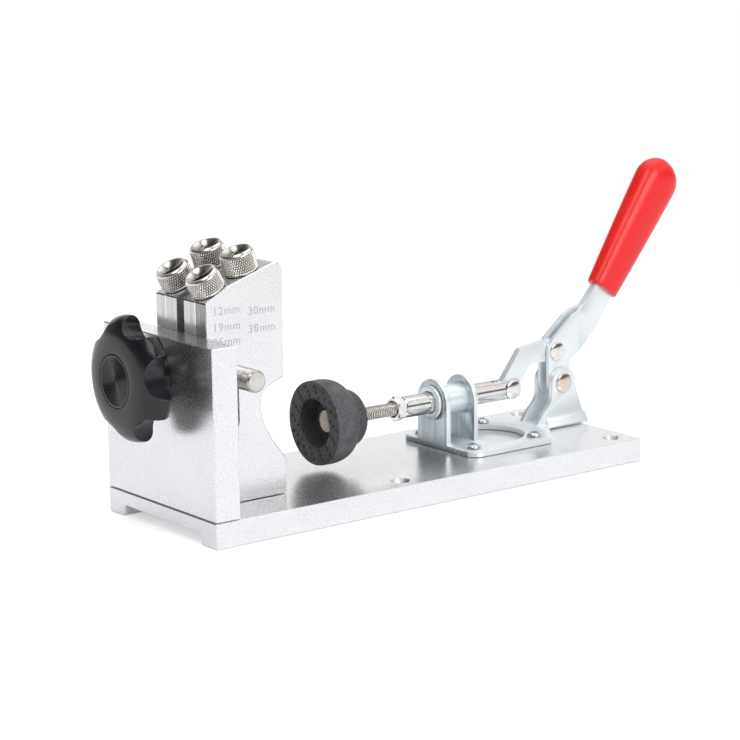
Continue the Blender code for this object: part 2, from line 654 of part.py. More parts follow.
def flange_outline():
    """Flat foot of the clamp: round front corners, and a taper back to the ears."""
    low = FLANGE_Y - FLANGE_WIDTH / 2
    high = FLANGE_Y + FLANGE_WIDTH / 2
    skirt = EAR_OUT + EAR_LIP - SHEET
    taper = PIVOT_X - EAR_HEAD - SHEET
    return rounded([(FLANGE_START, low, FLANGE_CORNER), (FLANGE_END, low, 2 * MM),
                    (taper, CLAMP_Y - skirt, 0), (PIVOT_X + EAR_FOOT - SHEET, CLAMP_Y - skirt, 0),
                    (PIVOT_X + EAR_FOOT - SHEET, CLAMP_Y + skirt, 0), (taper, CLAMP_Y + skirt, 0),
                    (FLANGE_END, high, 2 * MM), (FLANGE_START, high, FLANGE_CORNER)], 5)


def ear_outline():
    """Ear: a round head about the pivot, and a hollow front edge down to the sheet."""
    head = [polar(EAR_HEAD, math.radians(angle)) for angle in range(-10, 191, 20)]
    outline = [(PIVOT_X + u, PIVOT_HEIGHT + v) for u, v in head]
    knee = (PIVOT_X - EAR_HEAD - EAR_NECK, SHEET_TOP + EAR_SKIRT + EAR_NECK)
    toe = (PIVOT_X - EAR_HEAD - EAR_TOE, SHEET_TOP - SHEET / 2)
    outline += bezier(outline[-1], (outline[-1][0], PIVOT_HEIGHT - EAR_HEAD), (knee[0] + EAR_NECK, knee[1] + EAR_NECK),
                      knee, 4)
    outline += bezier(knee, (knee[0] - 1.5 * EAR_NECK, knee[1] - EAR_NECK), (toe[0] + 1.5 * EAR_NECK, toe[1] + SHEET / 2),
                      toe, 6)
    outline += [(PIVOT_X + EAR_FOOT, SHEET_TOP - SHEET / 2)]
    return outline


def ear(side):
    low = EAR_GAP / 2
    high = EAR_OUT
    edges = sorted((CLAMP_Y + side * low, CLAMP_Y + side * high))
    return prism(ear_outline(), edges[0], edges[1], "Y")


def skirt(side):
    """Flared lower edge of an ear, from its front corner to its rear."""
    out = CLAMP_Y + side * EAR_OUT
    lip = CLAMP_Y + side * (EAR_OUT + EAR_LIP)
    inner = CLAMP_Y + side * (EAR_OUT - SHEET / 2)
    outline = [(inner, SHEET_LOW), (lip - side * 0.4 * SHEET, SHEET_LOW), (lip, SHEET_LOW + 0.5 * SHEET),
               (out, SHEET_TOP + EAR_SKIRT - SHEET / 2), (inner, SHEET_TOP + EAR_SKIRT - SHEET / 2)]
    return prism(outline, PIVOT_X - EAR_HEAD - SHEET - 2 * MM, PIVOT_X + EAR_FOOT, "X")


def clamp_base():
    """Stamped foot of the toggle clamp: flange, two lugs for the tube and two ears for the handle."""
    body = prism(flange_outline(), SHEET_LOW, SHEET_TOP, "Z")
    add = [lug(FLANGE_START), bend(FLANGE_START), lug(REAR_LUG)]
    add += [ear(-1), ear(1), skirt(-1), skirt(1)]
    centre_x = FLANGE_END + 1.2 * MM - FLANGE_HOLE / 2
    hole = []
    front = REAR_LUG + SHEET + 1 * MM
    steps = 36
    for k in range(steps):
        u, v = polar(FLANGE_HOLE / 2, math.tau * k / steps)
        hole.append((max(centre_x + u, front), FLANGE_Y + v))
    cuts = [prism(tidy_outline(hole), SHEET_LOW - SHEET, SHEET_TOP + 0.2 * MM, "Z")]
    tube = TUBE_DIAMETER / 2 + SEAT
    cuts.append(rod((FLANGE_START - SHEET, CLAMP_Y, AXIS_HEIGHT),
                    (REAR_LUG + 2 * SHEET, CLAMP_Y, AXIS_HEIGHT), tube, 28))
    cuts.append(rod((PIVOT_X, CLAMP_Y - 2 * EAR_OUT, PIVOT_HEIGHT), (PIVOT_X, CLAMP_Y + 2 * EAR_OUT, PIVOT_HEIGHT),
                    RIVET_DIAMETER / 2 + RUN, 20))
    for x, y in clamp_screw_places():
        cuts.append(rod((x, y, SHEET_LOW - SHEET), (x, y, SHEET_TOP + SHEET), CLAMP_SCREW_DIAMETER / 2 + RUN, 12))
    solid("clamp_base", body, "base", ZINC, add=add, cut=cuts)


def tidy_outline(outline):
    """Outline without repeated points or points in line along a straight edge."""
    kept = []
    for k, point in enumerate(outline):
        before = outline[k - 1]
        after = outline[(k + 1) % len(outline)]
        if before[0] == point[0] == after[0]:
            continue
        kept.append(point)
    return kept


def guide_tube():
    """Tube with a front collar that the plunger slides in."""
    bore = PLUNGER_DIAMETER / 2 + RUN
    tube = TUBE_DIAMETER / 2
    collar = COLLAR_DIAMETER / 2
    front = FLANGE_START - SEAT - COLLAR_LENGTH
    back = REAR_LUG + SHEET
    profile = [(front, bore + EDGE_BREAK), (front, collar - 2 * EDGE_BREAK), (front + 2 * EDGE_BREAK, collar),
               (FLANGE_START - SEAT, collar), (FLANGE_START - SEAT, tube), (back, tube), (back, bore),
               (front + EDGE_BREAK, bore)]
    solid("guide_tube", turned(profile, (0, CLAMP_Y, AXIS_HEIGHT), (1, 0, 0), 28), "base", ZINC)


def pivot_rivet():
    shank = RIVET_DIAMETER / 2
    head = RIVET_HEAD / 2
    bed = EAR_OUT + SEAT
    tip = bed + RIVET_CROWN
    profile = [(-tip, 0), (-tip, head - EDGE_BREAK), (-tip + EDGE_BREAK, head), (-bed, head), (-bed, shank),
               (bed, shank), (bed, head), (tip - EDGE_BREAK, head), (tip, head - EDGE_BREAK), (tip, 0)]
    solid("pivot_rivet", turned(profile, (PIVOT_X, CLAMP_Y, PIVOT_HEIGHT), (0, 1, 0), 20), "base", NICKEL)


def plunger():
    """Chromed rod: blind bore for the spindle, and a slotted tail with flats for the link."""
    radius = PLUNGER_DIAMETER / 2
    end = PLUNGER_PIN_X + PLUNGER_TAIL
    profile = [(PLUNGER_FRONT, 0), (PLUNGER_FRONT, radius - EDGE_BREAK), (PLUNGER_FRONT + EDGE_BREAK, radius),
               (end - 2 * EDGE_BREAK, radius), (end, radius - 2 * EDGE_BREAK), (end, 0)]
    body = turned(profile, (0, CLAMP_Y, AXIS_HEIGHT), (1, 0, 0), 30)
    bore = SPINDLE_DIAMETER / 2 + RUN
    deep = PLUNGER_FRONT + SPINDLE_IN_PLUNGER + SPINDLE_BACK_ROOM
    cuts = [rod((PLUNGER_FRONT - SHEET, CLAMP_Y, AXIS_HEIGHT), (deep, CLAMP_Y, AXIS_HEIGHT), bore, 24)]
    slot = PLUNGER_SLOT_WIDTH / 2
    cuts.append(block((PLUNGER_PIN_X - PLUNGER_SLOT_REACH, CLAMP_Y - slot, AXIS_HEIGHT - PLUNGER_DIAMETER),
                      (end + SHEET, CLAMP_Y + slot, AXIS_HEIGHT + PLUNGER_DIAMETER)))
    for side in (-1, 1):
        inner = CLAMP_Y + side * PLUNGER_FLAT / 2
        outer = CLAMP_Y + side * PLUNGER_DIAMETER
        low, high = sorted((inner, outer))
        cuts.append(block((PLUNGER_PIN_X - PLUNGER_TAIL, low, AXIS_HEIGHT - PLUNGER_DIAMETER),
                          (end + SHEET, high, AXIS_HEIGHT + PLUNGER_DIAMETER)))
    cuts.append(rod((PLUNGER_PIN_X, CLAMP_Y - PLUNGER_DIAMETER, AXIS_HEIGHT),
                    (PLUNGER_PIN_X, CLAMP_Y + PLUNGER_DIAMETER, AXIS_HEIGHT), TONGUE_PIN / 2 + SEAT, 24))
    solid("plunger", body, "plunger_axis", STEEL, cut=cuts)


def plunger_pins():
    """The plunger's pin, as the two headed ends that sit in the cheeks beside the slot."""
    shank = TONGUE_PIN / 2
    head = TONGUE_PIN_HEAD / 2
    inner = PLUNGER_SLOT_WIDTH / 2
    bed = PLUNGER_FLAT / 2 + SEAT
    tip = bed + TONGUE_PIN_CROWN
    profile = [(inner, 0), (inner, shank), (bed, shank), (bed, head), (tip - EDGE_BREAK, head),
               (tip, head - EDGE_BREAK), (tip, 0)]
    for name, side in (("plunger_pin_near", -1), ("plunger_pin_far", 1)):
        body = turned(profile, (PLUNGER_PIN_X, CLAMP_Y, AXIS_HEIGHT), (0, side, 0), 20)
        solid(name, body, "plunger_axis", STEEL)


def spindle_bolt():
    """M8 hexagon bolt: its head in the pad's cup, its shank through the pad into the plunger."""
    radius = SPINDLE_DIAMETER / 2
    bed = CUP_FLOOR - SEAT
    end = PLUNGER_FRONT + SPINDLE_IN_PLUNGER
    body = rod((bed - BOLT_HEAD_HEIGHT / 2, CLAMP_Y, AXIS_HEIGHT), (end, CLAMP_Y, AXIS_HEIGHT), radius, 24, EDGE_BREAK)
    head = hexagon(BOLT_HEAD_ACROSS, (bed - BOLT_HEAD_HEIGHT, CLAMP_Y, AXIS_HEIGHT), (bed, CLAMP_Y, AXIS_HEIGHT))
    solid("spindle_bolt", body, "spindle_axis", STEEL, add=[head])


def jam_nut():
    """Hexagon nut that locks the spindle against the front of the plunger."""
    back = PLUNGER_FRONT - SEAT
    front = back - NUT_THICKNESS
    body = hexagon(NUT_ACROSS, (front, CLAMP_Y, AXIS_HEIGHT), (back, CLAMP_Y, AXIS_HEIGHT))
    bore = rod((front - SHEET, CLAMP_Y, AXIS_HEIGHT), (back + SHEET, CLAMP_Y, AXIS_HEIGHT),
               SPINDLE_DIAMETER / 2 + RUN, 24)
    solid("jam_nut", body, "nut_axis", STEEL, cut=[bore])


def rubber_pad():
    """Cupped rubber foot with a rounded rim and a hub round the bolt."""
    rim = PAD_DIAMETER / 2
    hub = PAD_HUB / 2
    cup = CUP_DIAMETER / 2
    bore = SPINDLE_DIAMETER / 2 + SEAT
    disc = PAD_FACE + PAD_DISC
    soft = 2.5 * MM
    profile = [(CUP_FLOOR, bore), (CUP_FLOOR, cup - soft), (CUP_FLOOR - soft, cup), (PAD_FACE + soft / 2, cup),
               (PAD_FACE, cup + soft / 2), (PAD_FACE, rim - soft)]
    profile += bezier((PAD_FACE, rim - soft), (PAD_FACE, rim - soft / 2), (PAD_FACE + soft / 2, rim),
                      (PAD_FACE + soft, rim), 3)
    profile += bezier((disc - 2 * soft, rim), (disc - soft / 2, rim), (disc, rim - soft), (disc, hub + soft), 5)
    profile += [(disc + soft / 2, hub), (PAD_BACK - 1.5 * soft, hub - soft / 2)]
    profile += bezier((PAD_BACK - 1.5 * soft, hub - soft / 2), (PAD_BACK - soft / 2, hub - soft),
                      (PAD_BACK, hub - 2 * soft), (PAD_BACK, hub - 3 * soft), 3)
    profile.append((PAD_BACK, bore))
    solid("rubber_pad", turned(profile, (0, CLAMP_Y, AXIS_HEIGHT), (1, 0, 0), 30), "spindle_axis", RUBBER)


def link():
    """Cranked link from the plunger's slot up to the pin between the handle's cheeks."""
    lift = Vector((LINK_PIN_X - PLUNGER_PIN_X, LINK_PIN_Z - AXIS_HEIGHT))
    pin = Vector((PLUNGER_PIN_X, AXIS_HEIGHT))
    lower = Vector(polar(1.0, math.radians(52.0)))
    left = Vector((-lower.y, lower.x))
    foot = pin - lower * PLUNGER_TAIL
    arm = lift.y + AXIS_HEIGHT
    corners = [(*(foot + left * 7.4 * MM), 5.8 * MM), (*(foot - left * 5.0 * MM), 5.4 * MM),
               (LINK_PIN_X - 18.6 * MM, arm - 5.5 * MM, 4.0 * MM), (LINK_PIN_X + 6.3 * MM, arm - 6.2 * MM, 6.0 * MM),
               (LINK_PIN_X + 6.3 * MM, arm + 7.0 * MM, 6.0 * MM), (LINK_PIN_X - 9.0 * MM, arm + 7.0 * MM, 5.0 * MM),
               (LINK_PIN_X - 26.0 * MM, arm + 4.6 * MM, 2.5 * MM)]
    half = LINK_THICKNESS / 2
    body = prism(rounded(corners, 5), CLAMP_Y - half, CLAMP_Y + half, "Y")
    cuts = []
    for x, z, radius in ((LINK_PIN_X, LINK_PIN_Z, LINK_RIVET_DIAMETER), (PLUNGER_PIN_X, AXIS_HEIGHT, TONGUE_PIN)):
        cuts.append(rod((x, CLAMP_Y - 2 * half, z), (x, CLAMP_Y + 2 * half, z), radius / 2 + RUN, 24))
    solid("link", body, "link_axis", ZINC, cut=cuts)


def cheek_outline():
    """Side of the handle from the pivot up to the crease."""
    x, z = PIVOT_X, PIVOT_HEIGHT
    return rounded([(x - 9.0 * MM, z - 8.6 * MM, 8.0 * MM), (x + 8.6 * MM, z - 8.6 * MM, 8.0 * MM),
                    (x + 7.6 * MM, z + 13.5 * MM, 3.0 * MM), (x + CREASE_OUT, z + CREASE_LOW, 0),
                    (x + CREASE_OUT, z + CREASE_HIGH, 0), (x + 9.5 * MM, z + CREASE_HIGH - 2.5 * MM, 3.0 * MM),
                    (x - 5.0 * MM, z + 27.3 * MM, 3.0 * MM), (x - 9.0 * MM, z + 23.0 * MM, 3.0 * MM)], 5)


def blade_points():
    """Corners of the flat blade: two at the neck, two at the grip's foot, two at its tip."""
    x, z = PIVOT_X, PIVOT_HEIGHT
    foot, along, cross = grip_frame()
    half = BLADE_WIDTH / 2
    tip = foot + along * BLADE_IN_GRIP
    neck_front = Vector((x + NECK_FRONT_OUT, z + NECK_FRONT_RISE))
    neck_back = Vector((x + NECK_BACK_OUT, z + NECK_BACK_RISE))
    return neck_front, neck_back, foot + cross * half, tip + cross * half, tip - cross * half, foot - cross * half


def handle():
    """Folded lever: two cheeks open to the front, a rear web, and a neck pressed flat into a blade."""
    half = HANDLE_WIDTH / 2
    inner = half - HANDLE_SHEET
    x, z = PIVOT_X, PIVOT_HEIGHT
    neck_front, neck_back, foot_back, tip_back, tip_front, foot_front = blade_points()
    thick = BLADE_THICKNESS / 2
    outline = [(*neck_front, 0), (*neck_back, 0), (*foot_back, 0), (*tip_back, 5 * MM), (*tip_front, 5 * MM),
               (*foot_front, 4 * MM)]
    add = [prism(rounded(outline, 4), CLAMP_Y - thick, CLAMP_Y + thick, "Y")]
    add.append(prism(cheek_outline(), CLAMP_Y + inner, CLAMP_Y + half, "Y"))
    joint = x + CREASE_OUT - 0.4 * MM
    crease = ((joint, z + CREASE_LOW - 0.2 * MM), (joint, z + CREASE_HIGH - 0.2 * MM))
    for side in (-1, 1):
        points = [(u, CLAMP_Y + side * y, v) for u, v in crease for y in (inner, half)]
        for corner in (neck_front, neck_back):
            points += [(corner.x, CLAMP_Y + side * y, corner.y) for y in (0.05 * thick, thick)]
        add.append(hull(points))
    web = [(x + 8.8 * MM, z + 13.2 * MM), (x + CREASE_OUT, z + CREASE_LOW - 1.0 * MM), (x + 27.0 * MM, z + 25.5 * MM),
           (x + 25.6 * MM, z + 28.0 * MM), (x + 14.0 * MM, z + 19.9 * MM), (x + 8.8 * MM, z + 16.9 * MM)]
    add.append(web_shape(web, half, thick))
    body = prism(cheek_outline(), CLAMP_Y - half, CLAMP_Y - inner, "Y")
    cuts = [rod((x, CLAMP_Y - HANDLE_WIDTH, z), (x, CLAMP_Y + HANDLE_WIDTH, z), RIVET_DIAMETER / 2 + RUN, 24),
            rod((LINK_PIN_X, CLAMP_Y - HANDLE_WIDTH, LINK_PIN_Z), (LINK_PIN_X, CLAMP_Y + HANDLE_WIDTH, LINK_PIN_Z),
                LINK_RIVET_DIAMETER / 2 + SEAT, 24)]
    solid("handle", body, "handle_axis", ZINC, add=add, cut=cuts)


def web_shape(outline, wide, narrow):
    """Rear web of the handle, which narrows with the neck."""
    last = max(u for u, _ in outline)
    first = sorted(u for u, _ in outline)[2]
    bm = bmesh.new()
    rings = []
    for side in (-1, 1):
        ring = []
        for u, v in outline:
            share = min(max((u - first) / (last - first), 0), 1)
            ring.append(bm.verts.new((u, CLAMP_Y + side * (wide + (narrow - wide) * share) * 0.97, v)))
        rings.append(ring)
    bm.faces.new(rings[0])
    bm.faces.new(list(reversed(rings[1])))
    count = len(outline)
    for k in range(count):
        n = (k + 1) % count
        bm.faces.new((rings[0][k], rings[1][k], rings[1][n], rings[0][n]))
    return tidy(bm)


def link_rivet():
    shank = LINK_RIVET_DIAMETER / 2
    head = LINK_RIVET_HEAD / 2
    bed = HANDLE_WIDTH / 2 + SEAT
    tip = bed + LINK_RIVET_CROWN
    bevel = EDGE_BREAK
    profile = [(-tip, 0), (-tip, head - bevel), (-tip + bevel, head), (-bed, head), (-bed, shank), (bed, shank),
               (bed, head), (tip - bevel, head), (tip, head - bevel), (tip, 0)]
    body = turned(profile, (LINK_PIN_X, CLAMP_Y, LINK_PIN_Z), (0, 1, 0), 20)
    solid("link_rivet", body, "handle_axis", STEEL)


def grip():
    """Dipped grip: flattened oval sections that widen to a round end, with a pocket for the blade."""
    foot, along, cross = grip_frame()
    bm = bmesh.new()
    body_steps = [0.0, 0.012, 0.3, 0.6, 0.85]
    stations = [(GRIP_LENGTH - GRIP_ROUNDING) * share for share in body_steps]
    cap_steps = 6
    for k in range(cap_steps):
        stations.append(GRIP_LENGTH - GRIP_ROUNDING + GRIP_ROUNDING * math.sin(math.pi / 2 * k / cap_steps))
    round_steps = 24
    rings = []
    for number, station in enumerate(stations):
        half = grip_section(station) - (0.8 * MM if number == 0 else 0)
        centre = foot + along * station
        ring = []
        for k in range(round_steps):
            angle = math.tau * k / round_steps
            wide = half * math.copysign(abs(math.cos(angle)) ** 0.8, math.cos(angle))
            deep = half * GRIP_FLATNESS * math.copysign(abs(math.sin(angle)) ** 0.8, math.sin(angle))
            spot = centre + cross * wide
            ring.append(bm.verts.new((spot.x, CLAMP_Y + deep, spot.y)))
        rings.append(ring)
    for lower, upper in zip(rings, rings[1:]):
        for k in range(round_steps):
            n = (k + 1) % round_steps
            bm.faces.new((lower[k], lower[n], upper[n], upper[k]))
    bm.faces.new(rings[0])
    tip = foot + along * GRIP_LENGTH
    apex = bm.verts.new((tip.x, CLAMP_Y, tip.y))
    for k in range(round_steps):
        bm.faces.new((rings[-1][k], rings[-1][(k + 1) % round_steps], apex))
    tidy(bm)
    half = BLADE_WIDTH / 2 + SEAT
    start = foot - along * 12 * MM
    end = foot + along * (BLADE_IN_GRIP + SEAT)
    corners = [(*(start + cross * half), 0), (*(end + cross * half), 5 * MM), (*(end - cross * half), 5 * MM),
               (*(start - cross * half), 0)]
    deep = BLADE_THICKNESS / 2 + SEAT
    pocket = prism(rounded(corners, 4), CLAMP_Y - deep, CLAMP_Y + deep, "Y")
    solid("grip", bm, "handle_axis", RED, cut=[pocket])


group("base", 0, 0, 0)
group("guide", STOP_X, 0, GUIDE_BOTTOM)
group("knob_axis", KNOB_BACK, 0, KNOB_HEIGHT)
group("plunger_axis", PLUNGER_PIN_X, CLAMP_Y, AXIS_HEIGHT)
group("spindle_axis", PAD_FACE, CLAMP_Y, AXIS_HEIGHT, "plunger_axis")
group("nut_axis", PLUNGER_FRONT - SEAT - NUT_THICKNESS, CLAMP_Y, AXIS_HEIGHT, "plunger_axis")
group("handle_axis", PIVOT_X, CLAMP_Y, PIVOT_HEIGHT)
group("link_axis", LINK_PIN_X, CLAMP_Y, LINK_PIN_Z, "handle_axis")

base_plate()
end_plate()
end_screws()
guide_block()
bushings()
cross_pin()
knob()
knob_cap()
knob_stud()
clamp_base()
clamp_screws()
guide_tube()
pivot_rivet()
plunger()
plunger_pins()
spindle_bolt()
jam_nut()
rubber_pad()
link()
handle()
link_rivet()
grip()
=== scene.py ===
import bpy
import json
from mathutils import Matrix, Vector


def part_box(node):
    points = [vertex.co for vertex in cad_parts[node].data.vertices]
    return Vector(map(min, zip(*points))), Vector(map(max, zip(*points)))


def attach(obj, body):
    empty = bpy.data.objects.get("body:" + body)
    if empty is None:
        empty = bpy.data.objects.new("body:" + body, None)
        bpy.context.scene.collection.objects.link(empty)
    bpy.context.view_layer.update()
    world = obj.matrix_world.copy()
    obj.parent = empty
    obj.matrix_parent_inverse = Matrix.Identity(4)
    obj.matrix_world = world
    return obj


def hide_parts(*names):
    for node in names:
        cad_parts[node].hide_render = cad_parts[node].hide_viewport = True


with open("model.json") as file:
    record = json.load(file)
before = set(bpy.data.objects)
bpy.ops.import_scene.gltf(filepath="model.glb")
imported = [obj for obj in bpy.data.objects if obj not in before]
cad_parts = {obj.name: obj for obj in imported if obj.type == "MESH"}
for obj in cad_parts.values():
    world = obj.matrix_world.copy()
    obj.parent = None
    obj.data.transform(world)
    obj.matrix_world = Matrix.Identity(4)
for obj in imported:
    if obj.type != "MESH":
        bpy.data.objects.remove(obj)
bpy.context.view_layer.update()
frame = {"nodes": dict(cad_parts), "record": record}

import json
import math

import bmesh
import bpy
from mathutils import Matrix, Vector

# The plate's left end, in metres. The pieces are drawn in millimetres on the bench: X from that end,
# Y from the plate's middle and Z from the bench.
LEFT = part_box("base_plate")[0].x
KNOB_Z = 85.0  # axis of the knob, its stud and the cross pin
GUIDE_BACK = 15.8  # back face of the guide block
BUSHING_Y = 14.2  # bushings and seams on either side of the block's middle
CLAMP_Y = 8.0  # middle plane of the clamp
CLAMP_AXIS = (0, CLAMP_Y, 41.0)  # a point on the axis of its plunger and spindle
PIVOT_X, PIVOT_Z = 286.0, 40.5  # main pivot of the handle
ALONG_X, ALONG_Y, ALONG_Z = (1, 0, 0), (0, 1, 0), (0, 0, 1)
BODY = {node: body for body, nodes in frame["record"]["behaviour"]["bodies"].items() for node in nodes}
SLOT = {row["node"]: row["material_slot"] for row in frame["record"]["subparts"]}


# Camera and stage

def make_camera():
    """Camera fitted to the photograph: place, direction, roll and focal length."""
    data = bpy.data.cameras.new("camera")
    data.sensor_width = 36.0
    data.lens = 123.50
    data.shift_x = -0.00568
    data.shift_y = 0.0023
    data.clip_start = 0.05
    data.clip_end = 30.0
    camera = bpy.data.objects.new("camera", data)
    rows = ((0.795227, 0.134761, -0.591146),
            (-0.606158, 0.154753, -0.780144),
            (-0.013651, 0.978719, 0.204750))
    place = Matrix(rows).to_4x4()
    place.translation = Vector((LEFT - 0.7015162, -1.1157585, 0.3596334))
    camera.matrix_world = place
    bpy.context.scene.collection.objects.link(camera)
    bpy.context.scene.camera = camera


def area_light(name, spot, target, size, power):
    """Rectangular lamp at a spot, facing its target."""
    data = bpy.data.lights.new(name, "AREA")
    data.shape = "RECTANGLE"
    data.size, data.size_y = size
    data.energy = power
    light = bpy.data.objects.new(name, data)
    spot = Vector(spot)
    facing = (spot - Vector(target)).to_track_quat("Z", "Y").to_matrix().to_4x4()
    light.matrix_world = Matrix.Translation(spot) @ facing
    bpy.context.scene.collection.objects.link(light)


class Nodes:
    """Short calls for the maths of a node tree."""

    def __init__(self, tree):
        self.tree = tree

    def put(self, value, socket):
        if isinstance(value, (int, float)):
            socket.default_value = value
        else:
            self.tree.links.new(value, socket)

    def math(self, operation, first, second):
        node = self.tree.nodes.new("ShaderNodeMath")
        node.operation = operation
        self.put(first, node.inputs[0])
        self.put(second, node.inputs[1])
        return node.outputs[0]

    def dim(self, level, mask, share):
        """Level with a share taken away where the mask is one."""
        return self.math("MULTIPLY", level, self.math("SUBTRACT", 1.0, self.math("MULTIPLY", mask, share)))

    def ramp(self, value, start, end, low=0.0, high=1.0):
        node = self.tree.nodes.new("ShaderNodeMapRange")
        node.interpolation_type = "SMOOTHSTEP"
        self.put(value, node.inputs["Value"])
        for name, number in (("From Min", start), ("From Max", end), ("To Min", low), ("To Max", high)):
            node.inputs[name].default_value = number
        return node.outputs[0]

    def rays(self, *names):
        """One for the named kinds of ray, nought for the rest."""
        path = self.tree.nodes.new("ShaderNodeLightPath")
        found = path.outputs[names[0]]
        for name in names[1:]:
            found = self.math("MAXIMUM", found, path.outputs[name])
        return found


def make_world():
    """White background; reflections see a dark ceiling on the left and two dark bands as well."""
    world = bpy.data.worlds.new("studio")
    world.use_nodes = True
    tree = world.node_tree
    tree.nodes.clear()
    nodes = Nodes(tree)
    out = tree.nodes.new("ShaderNodeOutputWorld")
    coords = tree.nodes.new("ShaderNodeTexCoord")
    split = tree.nodes.new("ShaderNodeSeparateXYZ")
    tree.links.new(coords.outputs["Generated"], split.inputs[0])
    x, y, z = split.outputs
    # Directions as X, Y and Z of a unit vector; near is minus Y, left is minus X
    left = nodes.ramp(x, 0.0, -0.95, 1.0, 0.78)
    above = nodes.ramp(z, 0.35, 0.95, 1.08, 0.80)
    level = nodes.math("MULTIPLY", left, above)
    # Each band's lowest and highest Z, its side (1 near, minus 1 far) and the light left in it
    for low, high, near, shade in ((0.04, 0.30, 1, 0.06), (0.36, 0.50, -1, 0.12)):
        rise = nodes.ramp(z, low, low + 0.02)
        fall = nodes.ramp(z, high, high + 0.02, 1.0, 0.0)
        side = nodes.ramp(y, 0.25 * near, -0.05 * near)
        band = nodes.math("MULTIPLY", nodes.math("MULTIPLY", rise, fall), side)
        level = nodes.dim(level, band, 1.0 - shade)
    ceiling = nodes.math("MULTIPLY", nodes.ramp(z, 0.04, 0.18), nodes.ramp(x, 0.15, -0.10))
    level = nodes.dim(level, ceiling, 0.85)
    shades = []
    white = (1, 1, 1)
    # What lights the object, what it mirrors and what the camera sees
    for colour, strength in (((0.94, 0.965, 1.0), 0.62), (white, level), (white, 1.0)):
        shade = tree.nodes.new("ShaderNodeBackground")
        shade.inputs["Color"].default_value = (*colour, 1)
        nodes.put(strength, shade.inputs["Strength"])
        shades.append(shade)
    shader = shades[0].outputs[0]
    kinds = (("Is Glossy Ray",), ("Is Camera Ray", "Is Transmission Ray"))
    for rays, shade in zip(kinds, shades[1:]):
        mix = tree.nodes.new("ShaderNodeMixShader")
        tree.links.new(nodes.rays(*rays), mix.inputs[0])
        tree.links.new(shader, mix.inputs[1])
        tree.links.new(shade.outputs[0], mix.inputs[2])
        shader = mix.outputs[0]
    tree.links.new(shader, out.inputs[0])
    bpy.context.scene.world = world


def make_floor():
    """White floor that keeps the shadow near the object and runs out into the white background.

    Its sizes are in metres.
    """
    bm = bmesh.new()
    bmesh.ops.create_grid(bm, x_segments=2, y_segments=2, size=12.0)
    mesh = bpy.data.meshes.new("floor")
    bm.to_mesh(mesh)
    bm.free()
    floor = bpy.data.objects.new("floor", mesh)
    floor.location.z = -0.0003
    bpy.context.scene.collection.objects.link(floor)
    paint = bpy.data.materials.new("floor_paint")
    paint.use_nodes = True
    tree = paint.node_tree
    nodes = Nodes(tree)
    lit = tree.nodes["Principled BSDF"]
    lit.inputs["Base Color"].default_value = (0.9, 0.9, 0.9, 1)
    lit.inputs["Roughness"].default_value = 0.9
    lit.inputs["Specular IOR Level"].default_value = 0.1
    lit.inputs["Emission Color"].default_value = (1, 1, 1, 1)
    seen = nodes.rays("Is Camera Ray", "Is Glossy Ray", "Is Transmission Ray")
    direct = nodes.rays("Is Camera Ray", "Is Transmission Ray")
    seen_glow = nodes.math("MULTIPLY", direct, 0.42)
    mirrored_glow = nodes.math("MULTIPLY", nodes.rays("Is Glossy Ray"), 0.10)
    nodes.put(nodes.math("ADD", seen_glow, mirrored_glow), lit.inputs["Emission Strength"])
    white = tree.nodes.new("ShaderNodeEmission")
    white.inputs["Color"].default_value = (1, 1, 1, 1)
    coords = tree.nodes.new("ShaderNodeTexCoord")
    length = tree.nodes.new("ShaderNodeVectorMath")
    length.operation = "LENGTH"
    tree.links.new(coords.outputs["Object"], length.inputs[0])
    far = nodes.ramp(length.outputs["Value"], 0.32, 0.75)
    mix = tree.nodes.new("ShaderNodeMixShader")
    tree.links.new(nodes.math("MULTIPLY", far, seen), mix.inputs[0])
    tree.links.new(lit.outputs[0], mix.inputs[1])
    tree.links.new(white.outputs[0], mix.inputs[2])
    tree.links.new(mix.outputs[0], tree.nodes["Material Output"].inputs["Surface"])
    floor.data.materials.append(paint)


make_camera()
make_world()
make_floor()
area_light("key", spot=(0.1, -1.9, 0.9), target=(0, 0, 0.05), size=(1.3, 0.8), power=14.3)
area_light("top", spot=(0.3, 0.2, 1.7), target=(0, 0, 0.05), size=(1.9, 1.4), power=7.0)
area_light("left", spot=(-0.80, -0.62, 1.42), target=(-0.05, 0, 0.08), size=(0.90, 0.85), power=6.4)


# Materials

